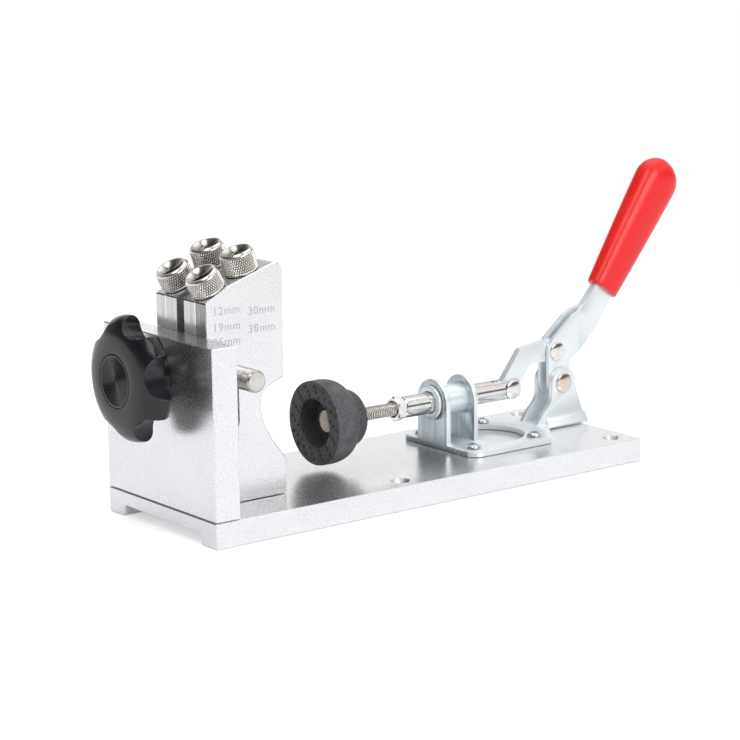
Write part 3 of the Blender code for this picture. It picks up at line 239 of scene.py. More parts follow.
class Finish:
    """Node material with a base colour, roughness and bump that vary over the surface."""

    def __init__(self, name, colour, metallic=0.0, roughness=0.5, **sockets):
        self.material = bpy.data.materials.new(name)
        self.material.use_nodes = True
        self.tree = self.material.node_tree
        self.shader = self.tree.nodes["Principled BSDF"]
        self.colour = (*colour, 1)
        self.shader.inputs["Base Color"].default_value = self.colour
        self.shader.inputs["Metallic"].default_value = metallic
        self.shader.inputs["Roughness"].default_value = roughness
        for socket, value in sockets.items():
            self.shader.inputs[socket.replace("_", " ")].default_value = value
        self.coords = self.tree.nodes.new("ShaderNodeTexCoord")
        self.base = None
        self.normal = None

    def noise(self, scale, detail, stretch=(1, 1, 1)):
        mapping = self.tree.nodes.new("ShaderNodeMapping")
        mapping.inputs["Scale"].default_value = stretch
        self.tree.links.new(self.coords.outputs["Object"], mapping.inputs["Vector"])
        noise = self.tree.nodes.new("ShaderNodeTexNoise")
        noise.inputs["Scale"].default_value = scale
        noise.inputs["Detail"].default_value = detail
        noise.inputs["Roughness"].default_value = 0.55
        self.tree.links.new(mapping.outputs[0], noise.inputs["Vector"])
        return noise.outputs["Fac"]

    def ranged(self, value, low, high, start=0.3, end=0.7):
        node = self.tree.nodes.new("ShaderNodeMapRange")
        node.inputs["From Min"].default_value = start
        node.inputs["From Max"].default_value = end
        node.inputs["To Min"].default_value = low
        node.inputs["To Max"].default_value = high
        self.tree.links.new(value, node.inputs["Value"])
        return node.outputs[0]

    def tint(self, value, colour, amount, start=0.35, end=0.65):
        """Mixes a colour in where the value is high."""
        mix = self.tree.nodes.new("ShaderNodeMix")
        mix.data_type = "RGBA"
        self.tree.links.new(self.ranged(value, 0.0, amount, start, end), mix.inputs["Factor"])
        if self.base is None:
            mix.inputs["A"].default_value = self.colour
        else:
            self.tree.links.new(self.base, mix.inputs["A"])
        mix.inputs["B"].default_value = (*colour, 1)
        self.base = mix.outputs["Result"]
        self.tree.links.new(self.base, self.shader.inputs["Base Color"])

    def rough(self, value, low, high):
        self.tree.links.new(self.ranged(value, low, high), self.shader.inputs["Roughness"])

    def bump(self, value, strength, distance):
        node = self.tree.nodes.new("ShaderNodeBump")
        node.inputs["Strength"].default_value = strength
        node.inputs["Distance"].default_value = distance
        self.tree.links.new(value, node.inputs["Height"])
        if self.normal is not None:
            self.tree.links.new(self.normal, node.inputs["Normal"])
        self.normal = node.outputs[0]
        self.tree.links.new(self.normal, self.shader.inputs["Normal"])


def aluminium(name, colour, roughness, speckle):
    """Bead-blasted aluminium: fine speckle, faint clouds, a dimpled surface."""
    finish = Finish(name, colour, metallic=0.96, roughness=roughness)
    grain = finish.noise(1300, 1.0)
    clouds = finish.noise(28, 2.0)
    finish.tint(grain, tuple(0.72 * c for c in colour), speckle)
    finish.tint(clouds, tuple(min(1.03 * c, 1.0) for c in colour), 0.3)
    finish.rough(grain, roughness - 0.04, roughness + 0.06)
    finish.bump(grain, 0.25, 0.0001)
    return finish.material


def rolled(name, colour, roughness, stretch, metallic, streak, spread=0.10):
    """Milled, drawn or rolled metal, with a grain drawn out along one axis."""
    finish = Finish(name, colour, metallic, roughness)
    grain = finish.noise(420, 3.0, stretch)
    clouds = finish.noise(45, 2.0)
    finish.tint(grain, tuple(0.78 * c for c in colour), streak)
    finish.tint(clouds, tuple(min(1.08 * c, 1.0) for c in colour), 0.35)
    finish.rough(grain, roughness - 0.5 * spread, roughness + spread)
    return finish.material


def plated(name, colour, roughness, groove_shade=(0.035, 0.030, 0.026), amount=0.92):
    """Plated turned metal: bright, with a random darker mottle and painted shade in its grooves and bores."""
    finish = Finish(name, colour, metallic=0.95, roughness=roughness)
    film = finish.noise(220, 3.0)
    finish.tint(film, tuple(0.72 * c for c in colour), 0.4)
    # Painted shade: the fourth argument's colour is mixed in where the lathe's groove attribute darkens cut
    # grooves and bores
    groove = finish.tree.nodes.new("ShaderNodeAttribute")
    groove.attribute_name = "groove"
    finish.tint(groove.outputs["Fac"], groove_shade, amount, 0.15, 0.85)
    finish.rough(film, roughness - 0.04, roughness + 0.08)
    finish.bump(film, 0.06, 0.0001)
    return finish.material


def make_materials():
    """Materials by name; each of the record's slots is one of them."""
    upright = (1, 1, 0.03)  # grain drawn out along Z
    paint = {
        "aluminium": aluminium("blasted_aluminium", (0.90, 0.90, 0.915), 0.25, 0.55),
        "milled": rolled("milled_aluminium", (0.72, 0.72, 0.73), 0.20, upright, 0.96, 0.9),
        # A darker copy of the milled finish: painted shade for the near column of the guide's back
        "milled_painted_shade": rolled("milled_painted_shade", (0.40, 0.40, 0.41), 0.24, upright, 0.96, 0.9),
        # Whiter and glossier than the block: a painted highlight for the strips over the seams down the
        # guide's back
        "seam": rolled("seam_painted_highlight", (0.98, 0.98, 0.98), 0.14, (1, 1, 1), 1.0, 0.0, 0.0),
        # Where a colour follows the roughness, it is the painted shade for grooves and bores, and the number
        # after it says how much of it is used
        "nickel": plated("nickel", (0.84, 0.81, 0.76), 0.20, (0.10, 0.085, 0.075), 0.80),
        # The pin's sides take a darker copy of its nickel, painted shade; its ends take the lighter copy
        # below
        "pin": plated("pin_nickel_painted_shade", (0.50, 0.48, 0.455), 0.24),
        "pin_end": plated("pin_end", (0.68, 0.645, 0.605), 0.16),
        "chrome": plated("chrome", (0.80, 0.79, 0.78), 0.13),
        "steel": plated("steel", (0.93, 0.915, 0.88), 0.17, (0.10, 0.08, 0.065), 0.80),
        "thread": plated("thread", (1.0, 0.965, 0.91), 0.26, (0.13, 0.09, 0.065), 0.92),
        "screw": plated("screw_zinc", (0.66, 0.70, 0.725), 0.20, (0.05, 0.055, 0.06), 0.9),
        "bolt_head": plated("bolt_head", (0.36, 0.31, 0.25), 0.20),
        "zinc": rolled("zinc", (0.83, 0.875, 0.895), 0.30, (1, 1, 3), 0.45, 0.12, 0.03),
        # A darker copy of the zinc for the faces of the lugs: its streaks are drawing marks, its darker tone
        # is painted shade
        "drawn_zinc_painted_shade": rolled("drawn_zinc_painted_shade", (0.56, 0.62, 0.66), 0.26, (1, 1, 0.04), 0.9, 1.0),
        "rivet": plated("rivet_nickel", (0.88, 0.86, 0.82), 0.12),
        "copper": plated("copper_flash", (0.80, 0.67, 0.58), 0.14),
    }
    black = Finish("black_plastic", (0.008, 0.0075, 0.010), 0.0, 0.20, Specular_IOR_Level=0.42,
                   Coat_Weight=0.12, Coat_Roughness=0.14)
    skin = black.noise(900, 2.0)
    black.tint(skin, (0.014, 0.013, 0.017), 0.5)
    black.rough(skin, 0.16, 0.26)
    black.bump(skin, 0.03, 0.0001)
    paint["knob_plastic"] = black.material
    # Two rubbers: a darker one for the pad's face and hub, and a lighter one for its sides, partly dust and
    # partly painted light where the sides face the lamps
    for name, colour, dust_and_painted_light in (("pad_rubber", (0.036, 0.036, 0.041), 0.085),
                                ("rubber_dust_and_painted_light", (0.058, 0.058, 0.062), 0.13)):
        rubber = Finish(name, colour, 0.0, 0.60)
        crumb = rubber.noise(1000, 2.0)
        dust = rubber.noise(110, 4.0)
        rubber.tint(crumb, (0.15, 0.15, 0.16), 0.8, 0.48, 0.72)
        rubber.tint(dust, (dust_and_painted_light, dust_and_painted_light, 1.05 * dust_and_painted_light), 0.7, 0.42, 0.66)
        rubber.rough(crumb, 0.50, 0.72)
        rubber.bump(crumb, 0.5, 0.0003)
        paint[name] = rubber.material
    vinyl = Finish("red_vinyl", (0.80, 0.007, 0.006), 0.0, 0.34, Coat_Weight=0.12, Coat_Roughness=0.20)
    ripple = vinyl.noise(60, 2.0)
    vinyl.tint(ripple, (0.83, 0.010, 0.008), 0.5)
    vinyl.rough(ripple, 0.28, 0.38)
    vinyl.bump(vinyl.noise(130, 2.0), 0.05, 0.0006)
    paint["grip_vinyl"] = vinyl.material
    ink = Finish("etched_mark", (0.47, 0.47, 0.49), 0.2, 0.6)
    ink.tint(ink.noise(1600, 2.0), (0.62, 0.62, 0.64), 0.6)
    paint["mark"] = ink.material
    return paint


PAINT = make_materials()


# Mesh helpers, all in millimetres on the bench

def polar(radius, angle):
    """Point at a radius and an angle."""
    return radius * math.cos(angle), radius * math.sin(angle)


def piece(name, bm, node, slot=None, smooth=40, stands_for_node=True):
    """Object from a mesh in bench millimetres that rides on the node's body and can stand for the node."""
    bmesh.ops.remove_doubles(bm, verts=bm.verts, dist=1e-4)
    bmesh.ops.recalc_face_normals(bm, faces=bm.faces)
    mesh = bpy.data.meshes.new(name)
    bm.to_mesh(mesh)
    bm.free()
    mesh.transform(Matrix.Translation((LEFT, 0, 0)) @ Matrix.Scale(0.001, 4))
    obj = bpy.data.objects.new(name, mesh)
    bpy.context.scene.collection.objects.link(obj)
    mesh.shade_smooth()
    mesh.set_sharp_from_angle(angle=math.radians(smooth))
    mesh.materials.append(PAINT[slot or SLOT[node]])
    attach(obj, BODY[node])
    if stands_for_node:
        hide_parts(node)
    return obj


def frame_of(direction):
    """Two unit vectors across a direction."""
    direction = Vector(direction).normalized()
    side = direction.orthogonal().normalized() if abs(direction.x) < 0.99 else Vector((0, 1, 0))
    return side, direction.cross(side)


def skin(bm, rings):
    """Faces between neighbouring rings of vertices; a ring may be one vertex, repeated."""
    for low, high in zip(rings, rings[1:]):
        for k in range(len(low)):
            n = (k + 1) % len(low)
            corners = []
            for vertex in (low[k], low[n], high[n], high[k]):
                if vertex not in corners:
                    corners.append(vertex)
            if len(corners) > 2:
                bm.faces.new(corners)


def lathe(profile, origin, direction, segments=96, radius_at=None, depth=0.0):
    """Surface of revolution of (along, radius, darkness), the darkness being painted shade.

    A function may change the radius; what it takes away is painted darker, as shade, by its share of the
    depth.
    """
    bm = bmesh.new()
    # Painted shade: how dark each vertex is painted, read by the plated materials for grooves and bores
    groove = bm.verts.layers.float.new("groove")
    origin, direction = Vector(origin), Vector(direction).normalized()
    side, up = frame_of(direction)
    rings = []
    for along, radius, *dark in profile:
        centre = origin + direction * along
        if radius <= 0:
            rings.append([bm.verts.new(centre)] * segments)
            rings[-1][0][groove] = dark[0] if dark else 0.0
            continue
        ring = []
        for k in range(segments):
            angle = math.tau * k / segments
            reach = radius_at(along, angle, radius) if radius_at else radius
            out = side * (reach * math.cos(angle)) + up * (reach * math.sin(angle))
            ring.append(bm.verts.new(centre + out))
            ring[-1][groove] = dark[0] if dark else min((radius - reach) / depth, 1.0) if depth else 0.0
        rings.append(ring)
    skin(bm, rings)
    if profile[0][1] > 0 and profile[-1][1] > 0 and profile[0][:2] != profile[-1][:2]:
        for k in range(segments):
            n = (k + 1) % segments
            bm.faces.new((rings[-1][k], rings[-1][n], rings[0][n], rings[0][k]))
    elif profile[0][:2] == profile[-1][:2]:
        bmesh.ops.remove_doubles(bm, verts=bm.verts, dist=1e-5)
    return bm


def prism(outline, low, high, axis):
    """Outline swept along an axis: (y, z) for X, (x, z) for Y and (x, y) for Z."""
    place = {"X": lambda u, v, w: (w, u, v),
             "Y": lambda u, v, w: (u, w, v),
             "Z": lambda u, v, w: (u, v, w)}[axis]
    bm = bmesh.new()
    rings = [[bm.verts.new(place(u, v, w)) for u, v in outline] for w in (low, high)]
    bm.faces.new(rings[0])
    bm.faces.new(list(reversed(rings[1])))
    count = len(outline)
    for k in range(count):
        n = (k + 1) % count
        bm.faces.new((rings[0][k], rings[1][k], rings[1][n], rings[0][n]))
    bmesh.ops.recalc_face_normals(bm, faces=bm.faces)
    return bm


def carve(bm, cutters):
    """Mesh with the cutters taken away by exact Booleans."""
    def temporary(source, name):
        mesh = bpy.data.meshes.new(name)
        source.to_mesh(mesh)
        source.free()
        obj = bpy.data.objects.new(name, mesh)
        bpy.context.scene.collection.objects.link(obj)
        return obj
    body = temporary(bm, "carved")
    tools = [temporary(cutter, f"tool_{k}") for k, cutter in enumerate(cutters)]
    for tool in tools:
        modifier = body.modifiers.new(tool.name, "BOOLEAN")
        modifier.operation = "DIFFERENCE"
        modifier.solver = "EXACT"
        modifier.object = tool
    bpy.context.view_layer.update()
    evaluated = body.evaluated_get(bpy.context.evaluated_depsgraph_get())
    result = bmesh.new()
    result.from_mesh(evaluated.to_mesh())
    for obj in [body, *tools]:
        mesh = obj.data
        bpy.data.objects.remove(obj)
        bpy.data.meshes.remove(mesh)
    bmesh.ops.remove_doubles(result, verts=result.verts, dist=1e-5)
    return result


def dressed(node, name, width):
    """CAD node in bench millimetres, its coplanar triangles merged and its sharp edges rounded."""
    bm = bmesh.new()
    bm.from_mesh(frame["nodes"][node].data)
    bm.transform(Matrix.Scale(1000.0, 4) @ Matrix.Translation((-LEFT, 0, 0)))
    bmesh.ops.remove_doubles(bm, verts=bm.verts, dist=1e-3)
    bmesh.ops.dissolve_limit(bm, angle_limit=math.radians(0.5), verts=bm.verts, edges=bm.edges)
    sharp = [edge for edge in bm.edges
             if len(edge.link_faces) == 2 and edge.calc_face_angle(0) > math.radians(35)]
    bmesh.ops.bevel(bm, geom=sharp, offset=width, segments=2, profile=0.5, affect="EDGES",
                    clamp_overlap=True)
    return piece(name, bm, node, smooth=35)


def curve(points, steps):
    """Smooth line of (along, radius) through points."""
    line = []
    for k in range(len(points) - 1):
        p0 = points[max(k - 1, 0)]
        p1, p2 = points[k], points[k + 1]
        p3 = points[min(k + 2, len(points) - 1)]
        for step in range(steps):
            t = step / steps
            line.append(tuple(
                0.5 * (2 * b + (c - a) * t + (2 * a - 5 * b + 4 * c - d) * t * t
                       + (3 * b - a - 3 * c + d) * t ** 3)
                for a, b, c, d in zip(p0, p1, p2, p3)))
    return line + [points[-1]]


# Pieces

def knob():
    """Six-lobed knob: a dome cut by leaning cylinders that deepen to the back, with rounded edges."""
    back = -0.3  # X of the knob's back, just off the end plate
    rim, neck = 33.9, 15.5  # radius over the lobes, and where the hollows end
    wide, bed = 12.2, 9.7  # radius of a hollow, and where it starts
    deep, shallow, height = 11.2, 6.9, 16.3  # how far it cuts in at the back and at the front
    rounding = 0.55
    first_hollow = math.radians(20.5)
    half_steps, lobe_steps, bends = 10, 22, (0.25, 0.5, 0.75)
    hollow_points = 2 * half_steps + 1
    around = 6 * (hollow_points + lobe_steps + 1 + 2 * len(bends))
    lean = (deep - shallow) / height
    reach = wide * math.hypot(1, lean)
    sixth = math.tau / 6

    def section(along, radius):
        """Sixth of a section as (x, y) about a hollow's middle: rounding, hollow, rounding, lobe."""
        middle = rim + reach - deep + lean * (along - bed)
        corner = tip = 0.0
        if along >= bed and radius > max(middle - reach, neck):
            # Where the circle of this radius meets the ellipse that the leaning cylinder cuts
            a = radius ** 2 * (1 / reach ** 2 - 1 / wide ** 2)
            b = -2 * radius * middle / reach ** 2
            c = (middle / reach) ** 2 + (radius / wide) ** 2 - 1
            corner = math.acos(min((-b - math.sqrt(b * b - 4 * a * c)) / (2 * a), 1.0))
            tip = math.atan2(radius * math.sin(corner) / wide, (middle - radius * math.cos(corner)) / reach)
        turn = tip - min(rounding / wide, 0.4 * tip)
        step = corner + min(rounding / radius, 0.4 * corner)
        hollow = [(radius, 0.0)] * hollow_points
        if tip > 0:
            turns = [turn * k / half_steps for k in range(-half_steps, half_steps + 1)]
            hollow = [(middle - reach * math.cos(at), wide * math.sin(at)) for at in turns]
        lobe = [polar(radius, step + (sixth - 2 * step) * k / lobe_steps) for k in range(lobe_steps + 1)]
        ends = list(zip(hollow[-1], polar(radius, corner), lobe[0]))
        bend = [tuple((1 - t) ** 2 * p + 2 * t * (1 - t) * q + t * t * r for p, q, r in ends) for t in bends]
        return [(x, -y) for x, y in reversed(bend)] + hollow + bend + lobe

    def ring(along, radius):
        if radius == 0:
            return [bm.verts.new((back - along, 0, KNOB_Z))] * around
        spots = []
        for sector in range(6):
            turn = -first_hollow + sixth * (sector + 0.5)
            for x, y in section(along, radius):
                spots.append(bm.verts.new((back - along, x * math.cos(turn) - y * math.sin(turn),
                                           KNOB_Z - x * math.sin(turn) - y * math.cos(turn))))
        return spots

    dome = curve([(bed, 30.2), (11.0, 32.3), (13.0, 33.6), (15.2, rim), (18.7, 32.8), (21.8, 30.2),
                  (23.7, 27.1), (25.0, 23.8), (25.75, 19.8), (25.95, 17.6)], 10)
    stations = [(0, 0), (0, 13.5), (0.5, 13.5), (8.7, 13.5), (9.3, 13.8), (9.68, 15.0)] + dome
    stations += [(26.0, 16.3), (26.0, 15.2), (25.9, 14.6), (24.1, 14.6), (24.1, 0)]
    bm = bmesh.new()
    skin(bm, [ring(*station) for station in stations])
    piece("knob_star", bm, "knob", smooth=40)


def knob_cap():
    """Disc in the knob's face, turned with fine concentric rings."""
    front, thick = -26.3, 1.6
    radius, border, rings = 14.3, 1.4, 11
    profile = [(0, 0), (0, radius - 0.1), (1.25, radius), (1.55, radius - 0.25), (thick, radius - 0.8),
               (thick, radius - 1.2)]
    pitch = (radius - border) / rings
    for ring in range(rings):
        outer = radius - border - ring * pitch
        for share, depth in ((0.0, 0.0), (0.22, 0.38), (0.45, 0.50), (0.68, 0.38), (0.90, 0.0)):
            profile.append((thick - depth, max(outer - share * pitch, 0.01)))
    profile.append((thick, 0))
    disc = lathe(profile, (front + thick, 0, KNOB_Z), (-1, 0, 0), 120)
    piece("knob_face_cap", disc, "knob_cap", smooth=60)


def rubber_pad():
    """Cupped rubber foot with three rings of moulded dimples in its face."""
    face, hub_start, length, bore = 107.2, 19.4, 30.0, 4.3
    middle_y, middle_z = CLAMP_AXIS[1:]
    rows = ((21.0, 16), (18.3, 14), (15.8, 12))  # radius and number of dimples
    pit_profile = [(-1.0, 0), (-1.0, 1.2), (0.0, 1.15), (1.0, 0.95), (1.6, 0.5), (1.7, 0)]
    outer = curve([(face, 23.4), (face + 0.1, 23.75), (face + 0.5, 23.95), (face + 3.0, 24.0),
                   (face + 8.0, 24.0), (face + 12.4, 23.2), (face + 15.6, 21.6), (face + 17.6, 19.2),
                   (face + 18.4, 17.3), (face + hub_start, 16.6)], 5)
    hub = curve([(face + hub_start, 16.6), (face + 23.0, 16.3), (face + 25.4, 15.4), (face + 27.7, 13.3),
                 (face + 29.2, 10.4), (face + length, 7.4)], 5)[1:]
    cup = curve([(face + 13.8, 11.4), (face + 13.0, 12.8), (face + 11.2, 13.8), (face + 6.0, 14.0),
                 (face + 1.2, 14.0), (face + 0.35, 14.25), (face, 14.9)], 4)
    rim = [(face, radius) for radius in (16.0, 18.0, 20.0, 22.0)]
    profile = [(face + length, bore), (face + 13.8, bore)] + cup + rim + outer + hub + [(face + length, bore)]
    bm = lathe(profile, CLAMP_AXIS, ALONG_X, 120)
    bmesh.ops.remove_doubles(bm, verts=bm.verts, dist=1e-4)
    bmesh.ops.recalc_face_normals(bm, faces=bm.faces)
    pits = bmesh.new()
    for radius, count in rows:
        for k in range(count):
            angle = math.radians(47.0) + math.tau * k / count
            centre = (face, middle_y + radius * math.cos(angle), middle_z + radius * math.sin(angle))
            pit = lathe(pit_profile, centre, ALONG_X, 12)
            bmesh.ops.recalc_face_normals(pit, faces=pit.faces)
            spare = bpy.data.meshes.new("pit")
            pit.to_mesh(spare)
            pit.free()
            pits.from_mesh(spare)
            bpy.data.meshes.remove(spare)
    pad = piece("pad_cup", carve(bm, [pits]), "rubber_pad", smooth=35).data
    pad.materials.append(PAINT["rubber_dust_and_painted_light"])
    # The sides take the lighter rubber, partly dust and partly painted light; the face and the hub keep the
    # darker one
    for side in pad.polygons:
        out = math.hypot(side.center.y * 1000 - middle_y, side.center.z * 1000 - middle_z)
        depth = (side.center.x - LEFT) * 1000 - face
        if out > 15.0 and side.normal.x > -0.7 and 0.2 < depth < 19.0:
            side.material_index = 1


def bushing(node, seat, tilt, height):
    """Headed bushing: chamfered mouth, diamond knurl between two plain bands, plain shank."""
    out = Vector((-math.sin(tilt), 0, math.cos(tilt)))
    bottom, bed = -19.0, 0.3  # end of the shank, and the head's underside
    bore, shank, crest = 4.75, 7.2, 9.5  # radii
    top = bed + height
    low, high = 1.3, top - 1.6
    around, rows = 44, round((high - low) / 1.35)
    pitch = (high - low) / rows

    def knurl(along, angle, radius):
        if along < low - 0.01 or along > high + 0.01 or radius < crest - 0.05:
            return radius
        turns = angle / math.tau * around
        rise = (along - low) / pitch
        waves = [abs((turns + sign * rise) % 1.0 - 0.5) * 2 for sign in (-0.5, 0.5)]
        fade = min((along - low) / 0.3, (high - along) / 0.3, 1.0)
        return radius - 0.55 * fade * (1 - min(min(waves) * 1.7, 1.0))

    steps = rows * 6
    # The third values paint shade: dark down the bore and mouth and at the step under the head; the knurl's
    # cut grooves get painted shade by their depth, out of 0.55
    profile = [(bottom, bore, 1), (bottom, 6.8, 0), (bottom + 0.4, shank), (bed, shank), (bed, 8.8, 0.9),
               (bed + 0.25, 9.2, 0.2), (low - 0.25, 9.25)]
    profile += [(low + (high - low) * k / steps, crest) for k in range(steps + 1)]
    profile += [(high + 0.15, 9.42), (high + 0.25, 9.40), (top - 0.12, 8.35), (top, 8.2), (top, 7.55),
                (top, 7.5, 0.1), (top - 0.1, 7.35, 0.25), (top - 2.3, 5.6, 0.75), (top - 3.1, 4.95, 0.95),
                (top - 3.6, bore, 1.0), (bottom, bore, 1)]
    bm = lathe(profile, seat, out, 6 * around, knurl, 0.55)
    piece(node.replace("bushing", "drill_bush"), bm, node, smooth=30)


def bushings():
    """Two bushings on each of the block's two sloping facets."""
    back = Vector((GUIDE_BACK, 124.0))
    low, high = math.radians(29), math.radians(18)
    facet = 14.2  # length of the lower facet along X
    ridge = back + Vector((facet, facet * math.tan(low)))
    rows = (("low", back, 10.4, low, 11.0), ("high", ridge, 16.6, high, 12.0))
    for row, corner, along, tilt, height in rows:
        seat = corner + Vector(polar(along, tilt))
        for name, y in (("near", -BUSHING_Y), ("far", BUSHING_Y)):
            bushing(f"bushing_{row}_{name}", (seat.x, y, seat.y), tilt, height)


def thread(along, angle, radius, pitch, depth):
    """Radius on a screw thread: a sharp helical groove below the given radius."""
    wave = abs(((along / pitch - angle / math.tau) % 1.0) - 0.5) * 2
    return radius - depth * (1 - min(wave * 1.25, 1.0))


def hexagonal(along, angle, radius):
    """Radius of a hexagon with corners left and right, cut by a cone of the given radius."""
    half_flats = 6.5
    return min(radius, half_flats / math.cos((angle - math.pi / 6) % (math.pi / 3) - math.pi / 6))


def spindle():
    """M8 bolt: chamfered hexagon head in the cup, and a rolled thread."""
    front, back = 115.2, 120.7  # of the head
    profile = [(front + 0.5, 0), (front + 0.35, 3.0), (front + 0.08, 4.6), (front, 5.4), (front, 6.2),
               (front + 0.8, 7.6), (back - 0.1, 7.6), (back, 7.5), (back, 0)]
    head = lathe(profile, CLAMP_AXIS, ALONG_X, 96, hexagonal)
    pitch, end = 1.25, 192.8
    steps = int((end - back) / pitch * 7)
    profile = [(back - 1.0, 0), (back - 1.0, 3.9)]
    profile += [(back + (end - back) * k / steps, 3.98) for k in range(steps + 1)]
    profile += [(end, 3.3), (end, 0)]

    def rolled_thread(along, angle, radius):
        if along < back + 1.5 or radius < 3.5:
            return radius
        fade = min((along - back - 1.5) / 1.0, (end - along) / 0.8 + 0.2, 1.0)
        return thread(along, angle, radius, pitch, 0.68 * fade)

    # The thread's cut grooves get painted shade by their depth, out of 0.6
    bm = lathe(profile, CLAMP_AXIS, ALONG_X, 40, rolled_thread, 0.6)
    piece("spindle_head", head, "spindle_bolt", slot="bolt_head", smooth=30)
    piece("spindle_thread", bm, "spindle_bolt", slot="thread", smooth=50)


def jam_nut():
    """Hexagon nut with chamfered corners and a countersunk bore."""
    front, back, bore = 162.7, 168.5, 4.1
    # The third values paint shade down the bore and its countersink
    profile = [(front + 1.2, bore, 1), (front, 5.0, 0.6), (front, 5.15, 0), (front, 6.3), (front + 0.8, 7.7),
               (back - 0.8, 7.7), (back, 6.3), (back, 5.0), (back - 1.0, bore), (front + 1.2, bore, 1)]
    nut = lathe(profile, CLAMP_AXIS, ALONG_X, 96, hexagonal)
    piece("lock_nut", nut, "jam_nut", smooth=25)


def plunger():
    """Chromed rod with a domed chamfer, a blind bore, a slot and two flats."""
    front, end, radius = 168.8, 255.0, 6.35
    bore, bore_end, slot_start, flat_start = 4.35, 208.8, 235.1, 242.4
    half_slot, half_tail = 2.65, 5.0
    clear, beyond = 10.0, 260.0  # the cutters reach past the rod
    profile = [(front, 0), (front, 4.3), (front, 5.5), (front + 0.15, 5.95), (front + 0.7, radius),
               (end - 1.2, radius), (end - 0.35, 6.0), (end, 5.3), (end, 0)]
    rod = lathe(profile, CLAMP_AXIS, ALONG_X, 96)
    bmesh.ops.recalc_face_normals(rod, faces=rod.faces)

    def tail_cut(start, near, far):
        low, high = CLAMP_AXIS[2] - clear, CLAMP_AXIS[2] + clear
        return prism([(start, low), (start, high), (beyond, high), (beyond, low)], near, far, "Y")

    cuts = [tail_cut(slot_start, CLAMP_Y - half_slot, CLAMP_Y + half_slot),
            tail_cut(flat_start, CLAMP_Y - clear, CLAMP_Y - half_tail),
            tail_cut(flat_start, CLAMP_Y + half_tail, CLAMP_Y + clear)]
    hole = lathe([(160, 0), (160, bore), (bore_end, bore), (bore_end, 0)], CLAMP_AXIS, ALONG_X, 48)
    bmesh.ops.recalc_face_normals(hole, faces=hole.faces)
    piece("clamp_rod", carve(rod, cuts + [hole]), "plunger", smooth=35)


def guide_tube():
    """Tube with a rolled front collar."""
    profile = [(189.0, 6.75), (189.0, 9.15), (189.25, 9.7), (189.75, 10.0), (190.5, 10.0), (191.0, 9.8),
               (191.2, 9.45), (191.2, 8.75), (214.6, 8.75), (215.0, 8.4), (215.1, 8.0), (215.1, 7.0),
               (214.8, 6.65), (189.4, 6.65), (189.0, 6.75)]
    piece("rod_tube", lathe(profile, CLAMP_AXIS, ALONG_X, 96), "guide_tube", smooth=35)


def pin_and_stud():
    """Cross pin with chamfered ends, and the knob's stud with its thread."""
    pin_x = 29.5
    half = [(48.8, 6.0), (49.1, 5.85), (49.85, 5.15), (50, 4.9), (50, 0)]
    profile = [(-along, radius) for along, radius in reversed(half)] + half
    pin = lathe(profile, (pin_x, 0, KNOB_Z), ALONG_Y, 96)
    slide = piece("slide_pin", pin, "cross_pin", slot="pin", smooth=25).data
    slide.materials.append(PAINT["pin_end"])
    # Painted shade: the pin's sides take the darker nickel, its flat ends the lighter one
    for face in slide.polygons:
        face.material_index = int(abs(face.normal.y) > 0.9)
    start, end, steps = -13.3, 35.0, 280
    stud = [(start, 0), (start, 2.5)]
    stud += [(start + (end - start) * k / steps, 2.98) for k in range(steps + 1)]
    stud += [(end, 2.4), (end, 0)]

    def fine(along, angle, radius):
        return radius if radius < 2.9 else thread(along, angle, radius, 1.0, 0.5)

    piece("clamp_stud", lathe(stud, (0, 0, KNOB_Z), ALONG_X, 32, fine), "knob_stud", smooth=50)


def domed_head(bed, rim, crown, radius):
    """Half profile of a rivet's head: a short wall from the bed, a rolled rim and a low dome."""
    steps = 10
    half = [(bed, radius - 0.1), (bed + 0.1, radius), (rim - 0.15, radius), (rim, radius - 0.12)]
    inner, base = radius - 0.25, rim + 0.08
    shares = [k / steps for k in range(steps, -1, -1)]
    return half + [(base + (crown - base) * (1 - share ** 2), inner * share) for share in shares]


def rivet(name, node, spot, shank, head, slot):
    """Rivet across the clamp with a head at both ends, from (bed, rim, crown, radius) of a head."""
    half = [(head[0], shank)] + domed_head(*head)
    profile = [(-along, out) for along, out in reversed(half)] + half
    piece(name, lathe(profile, spot, ALONG_Y, 64), node, slot=slot, smooth=30)


def rivets():
    """Main pivot, the link's upper pivot and the two ends of the plunger's pin."""
    rivet("pivot_pin", "pivot_rivet", (PIVOT_X, CLAMP_Y, PIVOT_Z), 4.0, (8.6, 8.8, 9.8, 5.8), "copper")
    reach, angle = 19.2, math.radians(97.5)
    spot = (PIVOT_X + reach * math.cos(angle), CLAMP_Y, PIVOT_Z + reach * math.sin(angle))
    rivet("link_pin", "link_rivet", spot, 3.25, (5.3, 5.5, 6.45, 5.4), "rivet")
    rod_pin_x, inner, shank = 248.7, 2.65, 3.25
    for name, side in (("near", -1), ("far", 1)):
        half = [(inner, 0), (inner, shank), (5.3, shank)] + domed_head(5.3, 6.0, 7.0, 5.5)
        pin = lathe(half, (rod_pin_x, *CLAMP_AXIS[1:]), (0, side, 0), 64)
        piece(f"rod_pin_{name}", pin, f"plunger_pin_{name}", slot="rivet", smooth=30)


